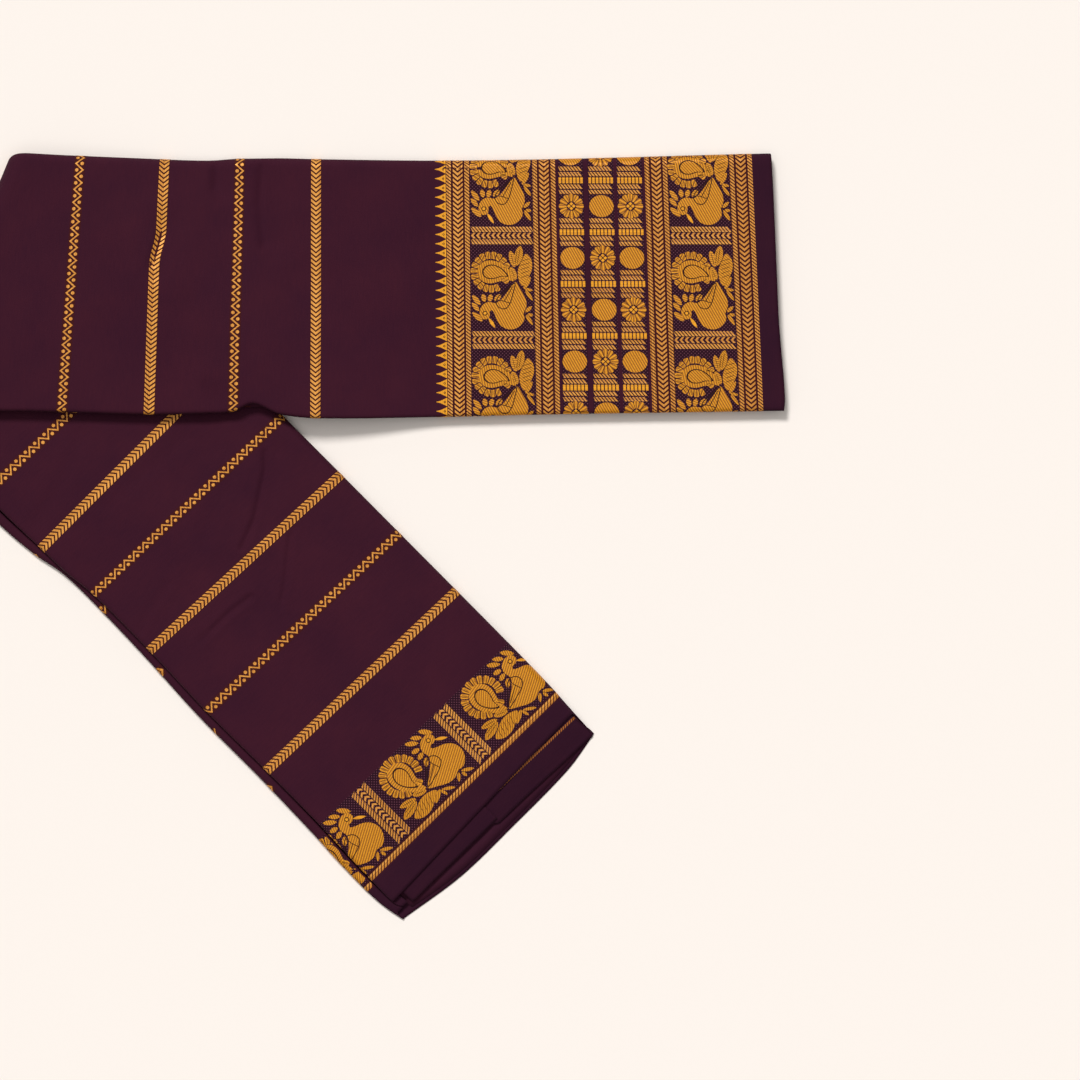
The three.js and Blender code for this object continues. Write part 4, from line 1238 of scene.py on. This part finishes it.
# The small border at the free end of the lower leg: one row of the same birds, turned the other way, with
# a rope on the selvedge side. The second fold has the same rope, which comes out from under the border.
SMALL_COLUMN = (502.4, 551.0)
SMALL_SEPARATOR, SMALL_PITCH, SMALL_HEIGHT = 66.6, 81.8, 13.8
SMALL_ROPE, SMALL_ROPE_WIDTH = 554.0, 3.9
SMALL_PLACE = 535.0
LONGER = (SMALL_COLUMN[1] - SMALL_COLUMN[0]) / BIRD_CELL[0]  # of these birds against the large border's
WIDER = (SMALL_PITCH - SMALL_HEIGHT) / BIRD_CELL[1]

small_reach = reach_of(lower_leg, SMALL_PLACE)
small_stations = np.arange(511.0, 556, 9.0)
lower_gold, lower_ropes, lower_marks = Weaving(), Weaving(), Weaving()
lower_ground, lower_pins = Weaving(), Weaving()
lower_pins.ground(*SMALL_COLUMN, *small_reach)
lower_ground.ground(SMALL_COLUMN[1], SMALL_ROPE + 2.4, *small_reach)
rope_across(lower_ropes, SMALL_ROPE, *small_reach, SMALL_ROPE_WIDTH, pitch=3.0, slant=1.0, share=0.76)
for w in steps_within(SMALL_SEPARATOR, SMALL_PITCH, small_reach[0] + 8, small_reach[1] - 8):
    separator(lower_ropes, *SMALL_COLUMN, w, SMALL_HEIGHT)
for w in steps_within(SMALL_SEPARATOR, SMALL_PITCH, small_reach[0] + 12, small_reach[1] + 72):
    last = w - SMALL_HEIGHT / 2

    def at(a, b, last=last):
        return SMALL_COLUMN[0] + a * LONGER, last - b * WIDER

    bird(lower_gold, lower_marks, at)
lower_pieces += [
    lower_gold.make("lower_border_gold", lower_leg, gold_thread, SMALL_PLACE, small_stations),
    lower_ropes.make("lower_border_ropes", lower_leg, copper_thread, SMALL_PLACE, small_stations),
    lower_marks.make("lower_border_marks", lower_leg, dark_thread, SMALL_PLACE, small_stations),
    lower_ground.make("lower_border_ground", lower_leg, red_ground, SMALL_PLACE, []),
]

FOLD_ROPE, FOLD_ROPE_WIDTH = 574.5, 1.9
FOLD_ROPE_REACH = (-2.0, 80.0)
FOLD_ROPE_LEAN = 0.03  # it runs in under the selvedge of the outer layer


def on_second_fold(p, w, out):
    """Where a point of the rope lies on the second fold, which bends down at the leg's closed fold"""
    first = float(read_table(lower_leg.edges, 1, FOLD_ROPE)) + HALF
    turn = np.clip((first - w) / BEND, 0, math.pi / 2)
    across = np.where(w < first, first - (BEND + out) * np.sin(turn), w)
    lowered = (BEND + BEND_EDGE) * (1 - np.cos(turn)) - out * np.cos(turn)
    p = p - FOLD_ROPE_LEAN * w
    return lie(lower_leg, p, across, np.interp(w, *SECOND_TOP) - lowered - end_dip(p))


fold_rope = Weaving()
rope_across(fold_rope, FOLD_ROPE, *FOLD_ROPE_REACH, FOLD_ROPE_WIDTH, pitch=2.0)
rope_cuts = np.arange(*FOLD_ROPE_REACH, 2.0)
lower_pieces.append(
    fold_rope.make("second_fold_rope", lower_leg, dull_thread, FOLD_ROPE, [], rope_cuts, on_second_fold)
)


# The ground behind the birds: dark cotton with a pale pin dot at every few threads
PIN_PITCH, PIN_RADIUS = 2.5, 0.27  # in millimetres, and as a share of the pitch
pin_dots, tree, shader, place = thread_material("pin_dot_cotton", "thread", 0.8, 0.08)
squares = []
for kind in ("ADD", "SUBTRACT"):
    diagonal = maths(tree, "MULTIPLY", maths(tree, kind, *split_up(tree, place)), 1 / PIN_PITCH)
    from_pin = maths(tree, "ABSOLUTE", maths(tree, "SUBTRACT", maths(tree, "FRACT", diagonal), 0.5))
    squares.append(maths(tree, "POWER", from_pin, 2))
far = maths(tree, "SQRT", maths(tree, "ADD", *squares))
rise = maths(tree, "MULTIPLY", maths(tree, "SUBTRACT", PIN_RADIUS, far), 6.0)
pin = maths(tree, "SMOOTH_MIN", maths(tree, "MAXIMUM", rise, 0.0), 1.0, 0.1)
pin_colour = mixed(tree, pin, (0.022, 0.0042, 0.0110), (0.17, 0.058, 0.085))
colour_and_bump(tree, shader, pin_colour, pin, 0.5, 0.0001)
top_pieces.append(pin_ground.make("top_pin_ground", top_leg, pin_dots, BORDER_PLACE, []))
lower_pieces.append(lower_pins.make("lower_pin_ground", lower_leg, pin_dots, SMALL_PLACE, []))


# The floor, the light and the camera. The saree lies on a plain pale floor under soft light from the upper
# left, seen from straight above as in the photograph.
FRAME_WIDTH = 777.6 * MM
CAMERA_HEIGHT = 4.0
CENTRE = (139.86 * MM, -1.46 * MM)
bpy.ops.object.select_all(action="DESELECT")
bpy.ops.mesh.primitive_plane_add(size=30, location=(0, 0, -0.0002))
floor = bpy.context.active_object
floor.name = "floor"
pale = bpy.data.materials.new("pale_floor")
pale.use_nodes = True
shader = pale.node_tree.nodes["Principled BSDF"]
shader.inputs["Base Color"].default_value = (0.93, 0.86, 0.80, 1)
shader.inputs["Roughness"].default_value = 0.9
shader.inputs["Specular IOR Level"].default_value = 0.0
floor.data.materials.append(pale)
bpy.ops.object.select_all(action="DESELECT")

world = bpy.data.worlds.new("studio")
bpy.context.scene.world = world
world.use_nodes = True
world.node_tree.nodes["Background"].inputs["Color"].default_value = (1.0, 0.985, 0.965, 1)
world.node_tree.nodes["Background"].inputs["Strength"].default_value = 0.16


def sun(name, energy, degrees, tilt=(0, 0, 0)):
    """A light as even as the sun's, and softer the more degrees of the sky it fills"""
    data = bpy.data.lights.new(name, "SUN")
    data.energy = energy
    data.angle = math.radians(degrees)
    light = bpy.data.objects.new(name, data)
    bpy.context.collection.objects.link(light)
    light.rotation_euler = [math.radians(angle) for angle in tilt]


sun("key_light", 2.35, 14, (-33, -14, 0))
sun("overhead_light", 0.95, 70)

SENSOR = 36
camera_data = bpy.data.cameras.new("camera")
camera_data.lens = SENSOR * CAMERA_HEIGHT / FRAME_WIDTH
camera_data.sensor_width = SENSOR
camera_data.clip_start = 0.05
camera = bpy.data.objects.new("camera", camera_data)
bpy.context.collection.objects.link(camera)
camera.location = (CENTRE[0], CENTRE[1], CAMERA_HEIGHT + THICK * MM)
bpy.context.scene.camera = camera
bpy.context.scene.view_settings.view_transform = "Standard"
